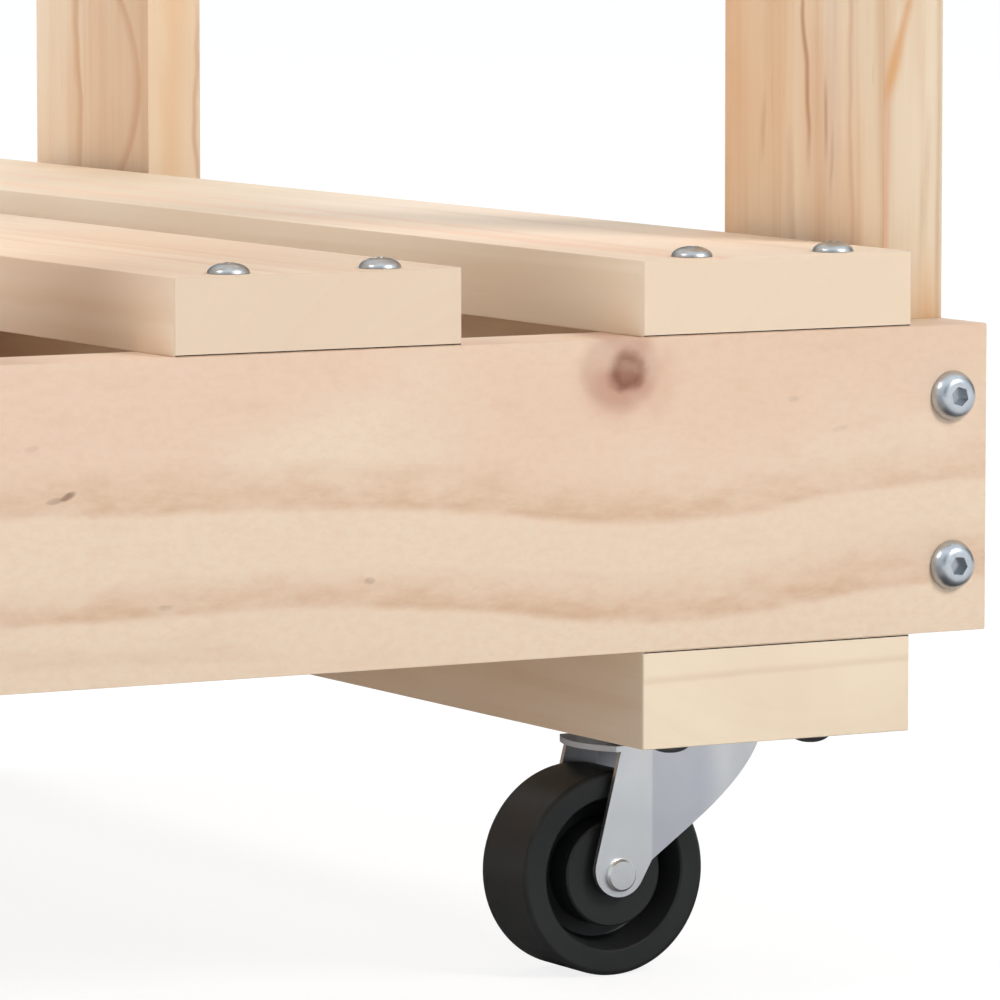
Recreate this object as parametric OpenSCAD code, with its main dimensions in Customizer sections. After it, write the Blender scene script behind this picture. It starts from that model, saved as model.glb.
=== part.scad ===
// Fireside log cart: a tall slatted pine rack on four swivel casters.
// X runs across the cart, Y from front to back, Z up from the floor.
// The origin is on the floor, under the middle of the cart.

/* [Deck] */
// Width of every board
timber_w = 70; // [62:1:80]
// Gap between two deck slats
slat_gap = 46; // [30:1:60]
// Distance from an outer slat to the end of the edge boards
slat_inset = 20.5; // [19:0.5:30]
// Thickness of the deck slats
slat_t = 17; // [14:0.5:22]
// Thickness of the bearers under the deck
bearer_t = 22; // [20:0.5:28]

/* [Frame] */
// Depth of the cart over its edge boards
cart_d = 482; // [400:1:560]
// Height of the cart over its posts
cart_h = 1100; // [800:10:1300]
// Thickness of the front and rear edge boards
board_t = 19; // [17:0.5:24]
// Thickness of the posts
post_t = 16; // [15:0.5:18.5]
// Thickness of the side rails
rail_t = 17; // [15:0.5:20]
// Arris planed off the long edges of the boards
arris = 0.3; // [0.2:0.1:1.5]

/* [Wood screws] */
// Diameter of a screw's shank
screw_d = 4.5; // [3.5:0.1:5]
// Diameter of a screw's domed head
screw_head_d = 9.3; // [8:0.1:11]
// Height of a screw's domed head
screw_head_h = 2.4; // [1.8:0.1:3.2]
// Distance between the two screws at a board's end
screw_pitch = 37; // [28:0.5:42]
// Distance from a board's end to its screws
screw_inset = 7; // [6:0.5:9]
// Distance from a bearer's end to its screws, in the middle of the edge board
bearer_screw_inset = 9.5; // [8:0.5:11]
// Shift of the bearer screws towards the cart's middle, clear of the slat screws
bearer_screw_shift = 4; // [3:0.5:6]
// Length of the slat screws under the head
slat_screw_l = 40; // [34:1:44]
// Length of the bearer screws under the head
bearer_screw_l = 45; // [38:1:48]
// Length of the rail screws under the head
rail_screw_l = 28; // [24:0.5:31]

/* [Frame bolts] */
// Thread diameter of the frame bolts
bolt_d = 6; // [5:0.5:7]
// Diameter of a frame bolt's button head
bolt_head_d = 11.4; // [10:0.1:12.5]
// Height of a frame bolt's button head
bolt_head_h = 3.3; // [2.6:0.1:3.6]
// Size of the hexagon socket across its flats
bolt_socket = 4; // [3:0.5:4.5]
// Distance from the end of an edge board to its bolts
bolt_inset = 9.3; // [8:0.1:9.8]
// Distance that the middle of a bolt pair lies below the middle of its edge board
bolt_drop = 0.5; // [0:0.1:3]
// Distance between the two bolts of a joint
bolt_pitch = 38.6; // [30:0.1:44]
// Length of a frame bolt under the head
bolt_l = 30; // [26:1:32]
// Outer diameter of an insert nut
insert_d = 9; // [8:0.1:10]
// Length of an insert nut
insert_l = 13; // [10:0.5:18]

/* [Caster] */
// Distance from the cart's front or back to a caster's swivel axis
caster_inset = 52; // [46:1:90]
// Side of the square top plate
plate_w = 42; // [40:0.5:48]
// Thickness of the top plate
plate_t = 2; // [1.8:0.1:2.5]
// Distance between the top plate's screws
plate_pitch = 32; // [30:0.5:34]
// Diameter of the plate screws' shank
plate_screw_d = 4; // [3:0.1:4.5]
// Length of the plate screws under the head
plate_screw_l = 18; // [12:0.5:19]
// Diameter of the bearing balls
ball_d = 3.6; // [3.2:0.1:4]
// Radius of the ring of balls
ball_ring_r = 9.8; // [9.4:0.1:10.2]
// Number of balls in the ring
ball_n = 14; // [8:1:15]
// Diameter of the kingpin
kingpin_d = 6; // [5:0.1:7]
// Radius of the fork's crown
crown_r = 23; // [22:0.1:25]
// Width of the fork over its legs
fork_w = 25.8; // [25:0.1:28]
// Thickness of the fork's sheet
fork_t = 1.3; // [1.1:0.1:1.6]
// Distance from the swivel axis back to the bend between leg and back wall
bend_x = 9.5; // [8:0.1:10.4]
// Angle at which the back wall flares out from the legs
flare = 2; // [1:0.5:4]
// Distance from the swivel axis forward to the start of the wall's curve
curve_x = 2; // [0:0.1:5]
// Radius of the fork's round nose
nose_r = 7; // [5:0.1:8]
// Distance from the swivel axis forward to the tip of the nose
nose_x = 25.6; // [24.5:0.1:27]
// Radius of the eye at the foot of a leg
eye_r = 6.5; // [6.2:0.1:7.4]

/* [Wheel] */
// Diameter of the wheel
wheel_d = 47.2; // [42:0.2:49]
// Distance that the axle trails behind the swivel axis
trail = 17.9; // [17:0.1:19]
// Distance from the top plate's upper face down to the axle
axle_drop = 34.4; // [33.5:0.1:38]
// Diameter of the axle
axle_d = 6; // [5:0.1:7]
// Diameter of the axle's riveted heads
axle_head_d = 7.5; // [7.2:0.1:9]
// Gap between the wheel's rim and a leg
wheel_gap = 1.35; // [0.8:0.05:1.8]
// Radius of the rounded edges of the tread
tread_round = 1.2; // [0.8:0.1:3]
// Radius of the groove's outer wall in the wheel's face
groove_r = 17.8; // [17:0.1:18.5]
// Radius of the hub inside the groove
hub_r = 12.3; // [11:0.1:13.5]

/* [Hidden] */
$fn = 48;

// Colours of the finishes
pine = [0.90, 0.78, 0.66];
pine_side = [0.85, 0.72, 0.58];
zinc = [0.72, 0.74, 0.75];
steel_sheet = [0.76, 0.77, 0.78];
black_plastic = [0.11, 0.11, 0.11];

// Clearances between pieces
thread_play = 0.03; // screw or insert in its own wood
shank_play = 0.2; // screw or bolt through the piece that it clamps
pin_play = 0.05; // turning pin in its bore
ball_play = 0.05; // ball in its races
race_depth = 0.5; // depth of the races in plate and crown
rivet_play = 0.3; // rivet head over a piece that turns

// Levels above the floor
bearer_z = axle_drop + wheel_d / 2;
board_z = bearer_z + bearer_t;
deck_z = board_z + timber_w;
top_board_z = cart_h - timber_w;
rail_rise = (top_board_z - board_z) / 4;
rail_mid_z = [for (i = [0:4]) board_z + timber_w / 2 + i * rail_rise];

// Places across the cart
slat_pitch = timber_w + slat_gap;
cart_w = 3 * timber_w + 2 * slat_gap + 2 * slat_inset;
post_in_x = cart_w / 2 - post_t;
rail_in_x = post_in_x - rail_t;
bolt_x = cart_w / 2 - bolt_inset;
slat_x = [-slat_pitch, 0, slat_pitch];
bearer_x = slat_pitch;
bearer_screw_x = bearer_x - bearer_screw_shift;

// Places from front to back
inner_d = cart_d - 2 * board_t;
post_mid_y = inner_d / 2 - timber_w / 2;
screw_y = cart_d / 2 - screw_inset;
bearer_screw_y = cart_d / 2 - bearer_screw_inset;
caster_y = cart_d / 2 - caster_inset;

// Levels in a caster, measured down from the top plate's upper face
ball_z = -(plate_t - race_depth + ball_play + ball_d / 2);
fork_top_z = ball_z - ball_d / 2 - ball_play + race_depth;
crown_low_z = fork_top_z - fork_t;
kingpin_head_r = kingpin_d / 2 + 2.2;
kingpin_head_h = 1.8;

// Outline of the fork: side view of the legs
eye_z = -axle_drop + 1.4;
leg_top_x = -17.6;
bend_low_z = eye_z + 1.6;

// Outline of the fork: plan of the back wall
nose_c = [nose_x - nose_r, 0];
wall_y = fork_w / 2 + (curve_x + bend_x) * tan(flare);
curve_r = (pow(curve_x - nose_c.x, 2) + pow(wall_y, 2) - pow(nose_r, 2))
  / (2 * (wall_y * cos(flare) - (curve_x - nose_c.x) * sin(flare) - nose_r));
curve_c = [curve_x + curve_r * sin(flare), wall_y - curve_r * cos(flare)];

// Section of the wheel
fork_in_w = fork_w - 2 * fork_t;
wheel_w = fork_in_w - 2 * wheel_gap;
hub_sink = 0.5;
groove_depth = 8.4;
groove_taper = 2.2; // inward lean of the groove's outer wall over its depth
groove_fillet = 0.6;
rim_edge = 0.4; // bevel where the groove and the hub meet the face
boss_r = axle_d / 2 + 2;
boss_gap = 0.3;

// Heads of the plate screws
plate_head_d = 2 * plate_screw_d;
plate_head_h = 1.9;

// ---------------------------------------------------------------- timber

// Cross-section of a board with its long edges eased.
module eased(a, b) {
  e = arris;
  polygon([[e, 0], [a - e, 0], [a, e], [a, b - e],
    [a - e, b], [e, b], [0, b - e], [0, e]]);
}

// Board along X: length, depth in Y and height in Z, centred on X and Y.
module board_x(l, d, h) {
  translate([-l / 2, -d / 2, 0])
    rotate([90, 0, 90])
      linear_extrude(l)
        eased(d, h);
}

// Board along Y: length, width in X and height in Z, centred on X and Y.
module board_y(l, w, h) {
  translate([-w / 2, l / 2, 0])
    rotate([90, 0, 0])
      linear_extrude(l)
        eased(w, h);
}

// Board along Z: height, width in X and depth in Y, centred on X and Y.
module board_z_up(h, w, d) {
  translate([-w / 2, -d / 2, 0])
    linear_extrude(h)
      eased(w, d);
}

// Straight hole from z = 0 down to the given depth.
module hole(d, depth) {
  translate([0, 0, -depth])
    cylinder(d = d, h = depth + 0.01);
}

// Corners of the top plate's square of screws.
function plate_holes() = [
  for (sx = [-1, 1])
    for (sy = [-1, 1])
      [sx * plate_pitch / 2, sy * plate_pitch / 2]
];

// Points of the screws at the front and back ends of a board along Y.
function end_screws(x, y) = [
  for (sy = [-1, 1])
    for (sx = [-1, 1])
      [x + sx * screw_pitch / 2, sy * y]
];

// Deck slat number i, counted from the left.
module slat(i) {
  color(pine)
    difference() {
      translate([slat_x[i], 0, deck_z])
        board_y(cart_d, timber_w, slat_t);
      for (p = end_screws(slat_x[i], screw_y))
        translate([p[0], p[1], deck_z + slat_t])
          hole(screw_d + 2 * shank_play, slat_t + 1);
    }
}

// Bearer on one side, with the pilot holes of two casters.
module bearer(side) {
  x = side * bearer_x;
  color(pine)
    difference() {
      translate([x, 0, bearer_z])
        board_y(cart_d, timber_w, bearer_t);
      for (p = end_screws(side * bearer_screw_x, bearer_screw_y))
        translate([p[0], p[1], board_z])
          hole(screw_d + 2 * shank_play, bearer_t + 1);
      for (sy = [-1, 1])
        for (p = plate_holes())
          translate([x + p[0], sy * caster_y + p[1], bearer_z])
            mirror([0, 0, 1])
              hole(plate_screw_d + 2 * thread_play, plate_screw_l - plate_t + 0.5);
    }
}

// Edge board at the front or the back: side is -1 or 1.
module edge_board(side, z) {
  y = side * (cart_d - board_t) / 2;
  difference() {
    translate([0, y, z])
      board_x(cart_w, board_t, timber_w);
    for (sx = [-1, 1])
      for (sz = [-1, 1])
        translate([sx * bolt_x, side * cart_d / 2, z + timber_w / 2 - bolt_drop + sz * bolt_pitch / 2])
          rotate([side * -90, 0, 0])
            hole(bolt_d + 2 * shank_play, board_t + 1);
  }
}

// Edge board between the tops of the posts.
module top_edge_board(side) {
  color(pine)
    edge_board(side, top_board_z);
}

// Edge board of the base, drilled for the slat and bearer screws as well.
module base_edge_board(side) {
  color(pine)
    difference() {
      edge_board(side, board_z);
      for (x = slat_x)
        for (sx = [-1, 1])
          translate([x + sx * screw_pitch / 2, side * screw_y, deck_z])
            hole(screw_d + 2 * thread_play, slat_screw_l - slat_t + 0.5);
      for (sb = [-1, 1])
        for (sx = [-1, 1])
          translate([sb * bearer_screw_x + sx * screw_pitch / 2, side * bearer_screw_y, board_z])
            mirror([0, 0, 1])
              hole(screw_d + 2 * thread_play, bearer_screw_l - bearer_t + 0.5);
    }
}

// Side rail or side board number i on one side.
module side_rail(side, i) {
  x = side * (post_in_x - rail_t / 2);
  color(pine_side)
    difference() {
      translate([x, 0, rail_mid_z[i] - timber_w / 2])
        board_y(inner_d, rail_t, timber_w);
      for (sy = [-1, 1])
        for (sz = [-1, 1])
          translate([side * rail_in_x, sy * post_mid_y, rail_mid_z[i] + sz * screw_pitch / 2])
            rotate([0, side * -90, 0])
              hole(screw_d + 2 * shank_play, rail_t + 1);
    }
}

// Post in one corner: sx is -1 or 1 for left or right, sy for front or rear.
module post(sx, sy) {
  color(pine_side)
    difference() {
      translate([sx * (post_in_x + post_t / 2), sy * post_mid_y, board_z])
        board_z_up(cart_h - board_z, post_t, timber_w);
      for (z = rail_mid_z)
        for (sz = [-1, 1])
          translate([sx * post_in_x, sy * post_mid_y, z + sz * screw_pitch / 2])
            rotate([0, sx * -90, 0])
              hole(screw_d + 2 * thread_play, rail_screw_l - rail_t + 0.5);
      for (z = [board_z, top_board_z])
        for (sz = [-1, 1])
          translate([sx * bolt_x, sy * inner_d / 2, z + timber_w / 2 - bolt_drop + sz * bolt_pitch / 2])
            rotate([sy * -90, 0, 0])
              hole(insert_d + 2 * thread_play, insert_l + 0.5);
    }
}

// ------------------------------------------------------------- fasteners

// Domed head with a cross recess: underside at z = 0, dome upwards.
module domed_head(d, h) {
  recess_w = d * 0.13;
  recess_l = d * 0.5;
  difference() {
    rotate_extrude()
      polygon(concat([[0, 0]], [for (a = [0:15:90]) [d / 2 * cos(a), h * sin(a)]]));
    for (a = [0, 90])
      rotate([0, 0, a])
        translate([-recess_l / 2, -recess_w / 2, h * 0.35])
          cube([recess_l, recess_w, h]);
  }
}

// Wood screw with its head's underside at z = 0 and its point downwards.
module wood_screw(d, l, head_d, head_h) {
  point_l = d;
  domed_head(head_d, head_h);
  rotate_extrude()
    polygon([[0, 0.2], [d / 2, 0.2], [d / 2, point_l - l], [0.3, -l], [0, -l]]);
}

// Button-head bolt with a hexagon socket, head upwards, shank downwards.
module button_bolt() {
  land_r = bolt_head_d * 0.3;
  edge_h = 0.5;
  tip_h = 1;
  socket_r = bolt_socket / 2 / cos(30);
  socket_depth = bolt_head_h * 0.6;
  difference() {
    rotate_extrude()
      polygon(concat(
        [[0, -bolt_l], [bolt_d / 2 - tip_h * 0.6, -bolt_l], [bolt_d / 2, tip_h - bolt_l],
          [bolt_d / 2, 0]],
        [for (a = [0:15:90])
          [land_r + (bolt_head_d / 2 - land_r) * cos(a), edge_h * (a > 0 ? 1 : 0)
            + (bolt_head_h - edge_h) * sin(a)]],
        [[0, bolt_head_h]]));
    translate([0, 0, bolt_head_h - socket_depth])
      rotate([0, 0, 30])
        cylinder(r = socket_r, h = bolt_head_h, $fn = 6);
  }
}

// Threaded insert: mouth at z = 0, body downwards, open at both ends.
module insert_nut() {
  difference() {
    translate([0, 0, -insert_l])
      cylinder(d = insert_d, h = insert_l);
    translate([0, 0, -insert_l - 1])
      cylinder(d = bolt_d + 2 * thread_play, h = insert_l + 2);
  }
}

// Places the children at the four bolt joints of one level, pointing outwards.
module at_frame_bolts(z, y) {
  for (sx = [-1, 1])
    for (sy = [-1, 1])
      for (sz = [-1, 1])
        translate([sx * bolt_x, sy * y, z + timber_w / 2 - bolt_drop + sz * bolt_pitch / 2])
          rotate([sy * -90, 0, 0])
            children();
}

// Bolts through the edge boards at one level.
module frame_bolts(z) {
  color(zinc)
    at_frame_bolts(z, cart_d / 2)
      button_bolt();
}

// Insert nuts in the posts at one level.
module insert_nuts(z) {
  color(zinc)
    at_frame_bolts(z, inner_d / 2)
      insert_nut();
}

// Screws from above through the slats into the edge boards.
module slat_screws() {
  color(zinc)
    for (x = slat_x)
      for (p = end_screws(x, screw_y))
        translate([p[0], p[1], deck_z + slat_t])
          wood_screw(screw_d, slat_screw_l, screw_head_d, screw_head_h);
}

// Screws from below through the bearers into the edge boards.
module bearer_screws() {
  color(zinc)
    for (sb = [-1, 1])
      for (p = end_screws(sb * bearer_screw_x, bearer_screw_y))
        translate([p[0], p[1], bearer_z])
          mirror([0, 0, 1])
            wood_screw(screw_d, bearer_screw_l, screw_head_d, screw_head_h);
}

// Screws through the rails of one side into its posts.
module rail_screws(side) {
  color(zinc)
    for (z = rail_mid_z)
      for (sy = [-1, 1])
        for (sz = [-1, 1])
          translate([side * rail_in_x, sy * post_mid_y, z + sz * screw_pitch / 2])
            rotate([0, side * -90, 0])
              wood_screw(screw_d, rail_screw_l, screw_head_d, screw_head_h);
}

// ---------------------------------------------------------------- caster

// Places the children at a caster's mounting face: sx and sy name the corner.
module at_caster(sx, sy) {
  translate([sx * bearer_x, sy * caster_y, bearer_z])
    children();
}

// Ring swept by the balls, with their play.
module ball_race() {
  rotate_extrude()
    translate([ball_ring_r, ball_z])
      circle(d = ball_d + 2 * ball_play);
}

// Half section of the kingpin: flush head in the plate, rivet head below.
module kingpin_section(play) {
  r = kingpin_d / 2;
  low_z = crown_low_z - rivet_play;
  polygon([
    [0, 0], [kingpin_head_r - 0.4 + play, 0], [r + play, -plate_t * 0.8], [r + play, low_z],
    [kingpin_head_r, low_z], [kingpin_head_r, low_z - kingpin_head_h * 0.4],
    [kingpin_head_r * 0.6, low_z - kingpin_head_h], [0, low_z - kingpin_head_h]
  ]);
}

// Square top plate with rounded corners, screw holes, race and countersink.
module caster_plate(sx, sy) {
  corner_r = 4;
  flat_w = plate_w - 2 * corner_r;
  color(zinc)
    at_caster(sx, sy)
      difference() {
        translate([0, 0, -plate_t])
          linear_extrude(plate_t)
            difference() {
              union() {
                square([plate_w, flat_w], center = true);
                square([flat_w, plate_w], center = true);
                for (cx = [-1, 1])
                  for (cy = [-1, 1])
                    translate([cx, cy] * flat_w / 2)
                      circle(corner_r);
              }
              for (p = plate_holes())
                translate(p)
                  circle(d = plate_screw_d + 2 * shank_play);
            }
        ball_race();
        rotate_extrude()
          kingpin_section(thread_play);
      }
}

// Kingpin riveted into the plate, with the head that carries the fork.
module caster_kingpin(sx, sy) {
  color(zinc)
    at_caster(sx, sy)
      rotate_extrude()
        kingpin_section(0);
}

// Ring of bearing balls between the plate and the crown.
module caster_balls(sx, sy) {
  color(zinc)
    at_caster(sx, sy)
      for (i = [0:ball_n - 1])
        rotate([0, 0, i * 360 / ball_n])
          translate([ball_ring_r, 0, ball_z])
            sphere(d = ball_d);
}

// Point where the wall's curve meets the round nose, at a depth in the sheet.
function nose_touch(depth) =
  curve_c + (nose_c - curve_c) * (curve_r - depth) / (curve_r - nose_r);

// Plan of the fork, open at the wheel's side, at a depth in its sheet.
module fork_plan(depth) {
  h = fork_w / 2 - depth;
  open_x = -2 * crown_r;
  bend = -bend_x + depth * tan(flare / 2);
  start = [curve_x + depth * sin(flare), wall_y - depth * cos(flare)];
  polygon([
    [open_x, -h], [bend, -h], [start[0], -start[1]],
    start, [bend, h], [open_x, h]
  ]);
  intersection() {
    translate(curve_c)
      circle(curve_r - depth, $fn = 96);
    translate([curve_c[0], -curve_c[1]])
      circle(curve_r - depth, $fn = 96);
    translate([start[0], -fork_w])
      square([nose_touch(depth)[0] - start[0], 2 * fork_w]);
  }
  translate(nose_c)
    circle(nose_r - depth);
}

// Point where a line from p touches a circle of radius r about c.
function touch(p, c, r, turn) =
  let (
    v = p - c,
    a = atan2(v[1], v[0]) + turn * acos(r / norm(v))
  ) c + r * [cos(a), sin(a)];

// Side view of a leg with its eye, and of the back wall.
module fork_side() {
  eye = [-trail, eye_z];
  leg_top = [leg_top_x, crown_low_z + fork_t / 2];
  bend_low = [-bend_x, bend_low_z];
  translate(eye)
    circle(eye_r);
  polygon([
    leg_top, touch(leg_top, eye, eye_r, 1), eye,
    touch(bend_low, eye, eye_r, -1), bend_low,
    [nose_x, crown_low_z + 0.1], [nose_x + 1, crown_low_z + 0.1], [nose_x + 1, leg_top[1]]
  ]);
}

// Pressed fork: crown with the lower race, two legs and a wrapped back wall.
module caster_fork(sx, sy) {
  color(steel_sheet)
    at_caster(sx, sy)
      difference() {
        union() {
          translate([0, 0, crown_low_z])
            linear_extrude(fork_t)
              intersection() {
                fork_plan(0);
                union() {
                  circle(crown_r, $fn = 96);
                  translate([0, -fork_w])
                    square([2 * crown_r, 2 * fork_w]);
                }
              }
          intersection() {
            translate([0, 0, -2 * axle_drop])
              linear_extrude(2 * axle_drop + crown_low_z + fork_t / 2)
                difference() {
                  fork_plan(0);
                  fork_plan(fork_t);
                }
            rotate([90, 0, 0])
              linear_extrude(4 * crown_r, center = true)
                fork_side();
          }
        }
        ball_race();
        translate([0, 0, crown_low_z - 1])
          cylinder(d = kingpin_d + 2 * pin_play, h = fork_t + 2);
        translate([-trail, 0, -axle_drop])
          rotate([90, 0, 0])
            cylinder(d = axle_d + 2 * thread_play, h = 2 * fork_w, center = true);
      }
}

// Riveted axle with a flat head on each leg.
module caster_axle(sx, sy) {
  head_h = 1.2;
  edge = 0.5;
  r = axle_head_d / 2;
  end = fork_w / 2 + head_h;
  color(zinc)
    at_caster(sx, sy)
      translate([-trail, 0, -axle_drop])
        rotate([90, 0, 0])
          rotate_extrude()
            polygon([
              [0, -end], [r - edge, -end], [r, edge - end], [r, -fork_w / 2],
              [axle_d / 2, -fork_w / 2], [axle_d / 2, fork_w / 2],
              [r, fork_w / 2], [r, end - edge], [r - edge, end], [0, end]
            ]);
}

// Section of the groove in one face of the wheel, with a leaning outer wall and a filleted floor.
module groove_cut(face_z, floor_z) {
  lean = atan(groove_taper / groove_depth);
  floor_r = groove_r - groove_taper;
  t = groove_fillet / tan((90 + lean) / 2);
  edge_r = groove_r - rim_edge * tan(lean);
  hub_z = face_z - hub_sink;
  polygon([
    [hub_r, face_z + 1], [hub_r, floor_z], [floor_r - t, floor_z],
    [floor_r + t * sin(lean), floor_z + t * cos(lean)], [groove_r, face_z], [groove_r, face_z + 1]
  ]);
  translate([floor_r - t, floor_z + groove_fillet])
    circle(groove_fillet);
  polygon([
    [hub_r + 1, face_z - rim_edge], [edge_r, face_z - rim_edge],
    [edge_r + rim_edge + 1, face_z + 1], [hub_r + 1, face_z + 1]
  ]);
  polygon([
    [hub_r + 1, hub_z - rim_edge], [hub_r, hub_z - rim_edge],
    [hub_r - rim_edge, hub_z], [hub_r - rim_edge, hub_z + 1], [hub_r + 1, hub_z + 1]
  ]);
}

// Half section of the wheel: round-edged tread, grooved faces, hub and bore.
module wheel_section() {
  w = wheel_w / 2;
  r = wheel_d / 2;
  bore_r = axle_d / 2 + pin_play;
  boss_w = fork_in_w / 2 - boss_gap;
  floor_z = w - groove_depth;
  difference() {
    union() {
      translate([bore_r, -w])
        square([r - tread_round - bore_r, 2 * w]);
      translate([bore_r, tread_round - w])
        square([r - bore_r, 2 * (w - tread_round)]);
      for (s = [-1, 1])
        translate([r - tread_round, s * (w - tread_round)])
          circle(tread_round);
      translate([bore_r, -boss_w])
        square([boss_r - bore_r, 2 * boss_w]);
    }
    for (s = [0, 1])
      mirror([0, s]) {
        groove_cut(w, floor_z);
        translate([boss_r, w - hub_sink])
          square([hub_r - boss_r + 1, groove_depth]);
      }
  }
}

// Wheel with its bore on the axle.
module caster_wheel(sx, sy) {
  color(black_plastic)
    at_caster(sx, sy)
      translate([-trail, 0, -axle_drop])
        rotate([90, 0, 0])
          rotate_extrude($fn = 128)
            wheel_section();
}

// Screws that hold the four top plates under the bearers.
module caster_plate_screws() {
  color(zinc)
    for (sx = [-1, 1])
      for (sy = [-1, 1])
        at_caster(sx, sy)
          for (p = plate_holes())
            translate([p[0], p[1], -plate_t])
              mirror([0, 0, 1])
                wood_screw(plate_screw_d, plate_screw_l, plate_head_d, plate_head_h);
}

// ----------------------------------------------------------------- pieces

base_edge_board(-1);  // front_edge_board
base_edge_board(1);  // rear_edge_board
top_edge_board(-1);  // top_front_board
top_edge_board(1);  // top_rear_board
post(-1, -1);  // post_front_left
post(1, -1);  // post_front_right
post(-1, 1);  // post_rear_left
post(1, 1);  // post_rear_right
slat(0);  // slat_left
slat(1);  // slat_middle
slat(2);  // slat_right
bearer(-1);  // bearer_left
bearer(1);  // bearer_right
side_rail(-1, 0);  // side_board_left
side_rail(1, 0);  // side_board_right
side_rail(-1, 1);  // rail_left_low
side_rail(-1, 2);  // rail_left_mid
side_rail(-1, 3);  // rail_left_high
side_rail(-1, 4);  // rail_left_top
side_rail(1, 1);  // rail_right_low
side_rail(1, 2);  // rail_right_mid
side_rail(1, 3);  // rail_right_high
side_rail(1, 4);  // rail_right_top
slat_screws();
bearer_screws();
rail_screws(-1);  // rail_screws_left
rail_screws(1);  // rail_screws_right
frame_bolts(board_z);  // base_frame_bolts
frame_bolts(top_board_z);  // top_frame_bolts
insert_nuts(board_z);  // base_insert_nuts
insert_nuts(top_board_z);  // top_insert_nuts
caster_plate_screws();
caster_plate(-1, -1);  // caster_fl_plate
caster_balls(-1, -1);  // caster_fl_balls
caster_kingpin(-1, -1);  // caster_fl_kingpin
caster_fork(-1, -1);  // caster_fl_fork
caster_axle(-1, -1);  // caster_fl_axle
caster_wheel(-1, -1);  // caster_fl_wheel
caster_plate(1, -1);  // caster_fr_plate
caster_balls(1, -1);  // caster_fr_balls
caster_kingpin(1, -1);  // caster_fr_kingpin
caster_fork(1, -1);  // caster_fr_fork
caster_axle(1, -1);  // caster_fr_axle
caster_wheel(1, -1);  // caster_fr_wheel
caster_plate(-1, 1);  // caster_rl_plate
caster_balls(-1, 1);  // caster_rl_balls
caster_kingpin(-1, 1);  // caster_rl_kingpin
caster_fork(-1, 1);  // caster_rl_fork
caster_axle(-1, 1);  // caster_rl_axle
caster_wheel(-1, 1);  // caster_rl_wheel
caster_plate(1, 1);  // caster_rr_plate
caster_balls(1, 1);  // caster_rr_balls
caster_kingpin(1, 1);  // caster_rr_kingpin
caster_fork(1, 1);  // caster_rr_fork
caster_axle(1, 1);  // caster_rr_axle
caster_wheel(1, 1);  // caster_rr_wheel
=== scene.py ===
"""Looks of the fireside log cart: planed pine boards, zinc fasteners and swivel casters.

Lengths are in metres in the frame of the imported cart: X runs across it, Y from front to back,
Z up from the floor, with the origin on the floor under its middle. Veins, bands, marks and cuts
are listed in millimetres.
"""

import logging
import math
from collections.abc import Callable, Iterable, Sequence
from dataclasses import dataclass
from enum import Enum

import bpy
from mathutils import Matrix, Vector


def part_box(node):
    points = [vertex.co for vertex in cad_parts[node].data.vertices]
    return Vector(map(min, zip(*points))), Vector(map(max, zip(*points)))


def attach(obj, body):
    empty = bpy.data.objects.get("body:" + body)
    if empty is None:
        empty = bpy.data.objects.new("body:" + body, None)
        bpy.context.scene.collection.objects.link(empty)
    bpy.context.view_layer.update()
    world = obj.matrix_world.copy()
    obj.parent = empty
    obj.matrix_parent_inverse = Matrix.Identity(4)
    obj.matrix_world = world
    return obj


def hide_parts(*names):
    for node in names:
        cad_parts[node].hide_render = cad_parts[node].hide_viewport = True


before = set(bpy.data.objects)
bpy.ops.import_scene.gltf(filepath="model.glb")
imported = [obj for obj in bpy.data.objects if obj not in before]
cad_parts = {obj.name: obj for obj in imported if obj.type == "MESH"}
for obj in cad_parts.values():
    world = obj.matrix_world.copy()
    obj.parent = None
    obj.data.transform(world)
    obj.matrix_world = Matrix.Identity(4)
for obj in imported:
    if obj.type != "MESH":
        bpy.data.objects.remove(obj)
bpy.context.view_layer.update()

MM = 0.001
X, Y, Z = range(3)
COLOUR = 1
FRAME_BODY = "frame"
CORNERS = ("fl", "fr", "rl", "rr")
SIDES = ("left", "right")
SLATS = ("slat_left", "slat_middle", "slat_right")
BEARERS = ("bearer_left", "bearer_right")
EDGES = {"base": ("front_edge_board", "rear_edge_board"), "top": ("top_front_board", "top_rear_board")}
PLACE = "log_place"
END = "end_grain"
RECESS = "drive_recess"
FACING = "facing"
FASTENER_SIZES = ("Head Diameter", "Head Height", "Shank Diameter", "Length", "Drive Size", "Drive Depth")
SHADER_TREE = "ShaderNodeTree"
GEOMETRY_TREE = "GeometryNodeTree"
UP = (0.0, 0.0, 1.0)

log = logging.getLogger("log_cart")

Node = bpy.types.Node
Socket = bpy.types.NodeSocket
Tree = bpy.types.NodeTree
Material = bpy.types.Material
Mesh = bpy.types.Mesh
Colour = tuple[float, float, float, float]
Point = tuple[float, float, float]
Spots = list[tuple[Point, Point]]
Settings = dict[str, object] | None
Inputs = dict[str | int, object] | None


def shade(red: int, green: int, blue: int) -> Colour:
    """The linear colour that a shader takes for a colour of a screen, 0 to 255 each."""

    def linear(value: int) -> float:
        """One channel, made linear."""
        part = value / 255
        return part / 12.92 if part <= 0.04045 else ((part + 0.055) / 1.055) ** 2.4

    return linear(red), linear(green), linear(blue), 1.0


def grey(level: float) -> Colour:
    """A neutral linear colour."""
    return level, level, level, 1.0


def side_boards(side: str) -> list[str]:
    """The nodes of one side's boards, from the lowest up."""
    return [f"side_board_{side}"] + [f"rail_{side}_{level}" for level in ("low", "mid", "high", "top")]


def add_object(name: str, data: object) -> bpy.types.Object:
    """Makes an object and links it to the scene."""
    made = bpy.data.objects.new(name, data)
    bpy.context.scene.collection.objects.link(made)
    return made


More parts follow.
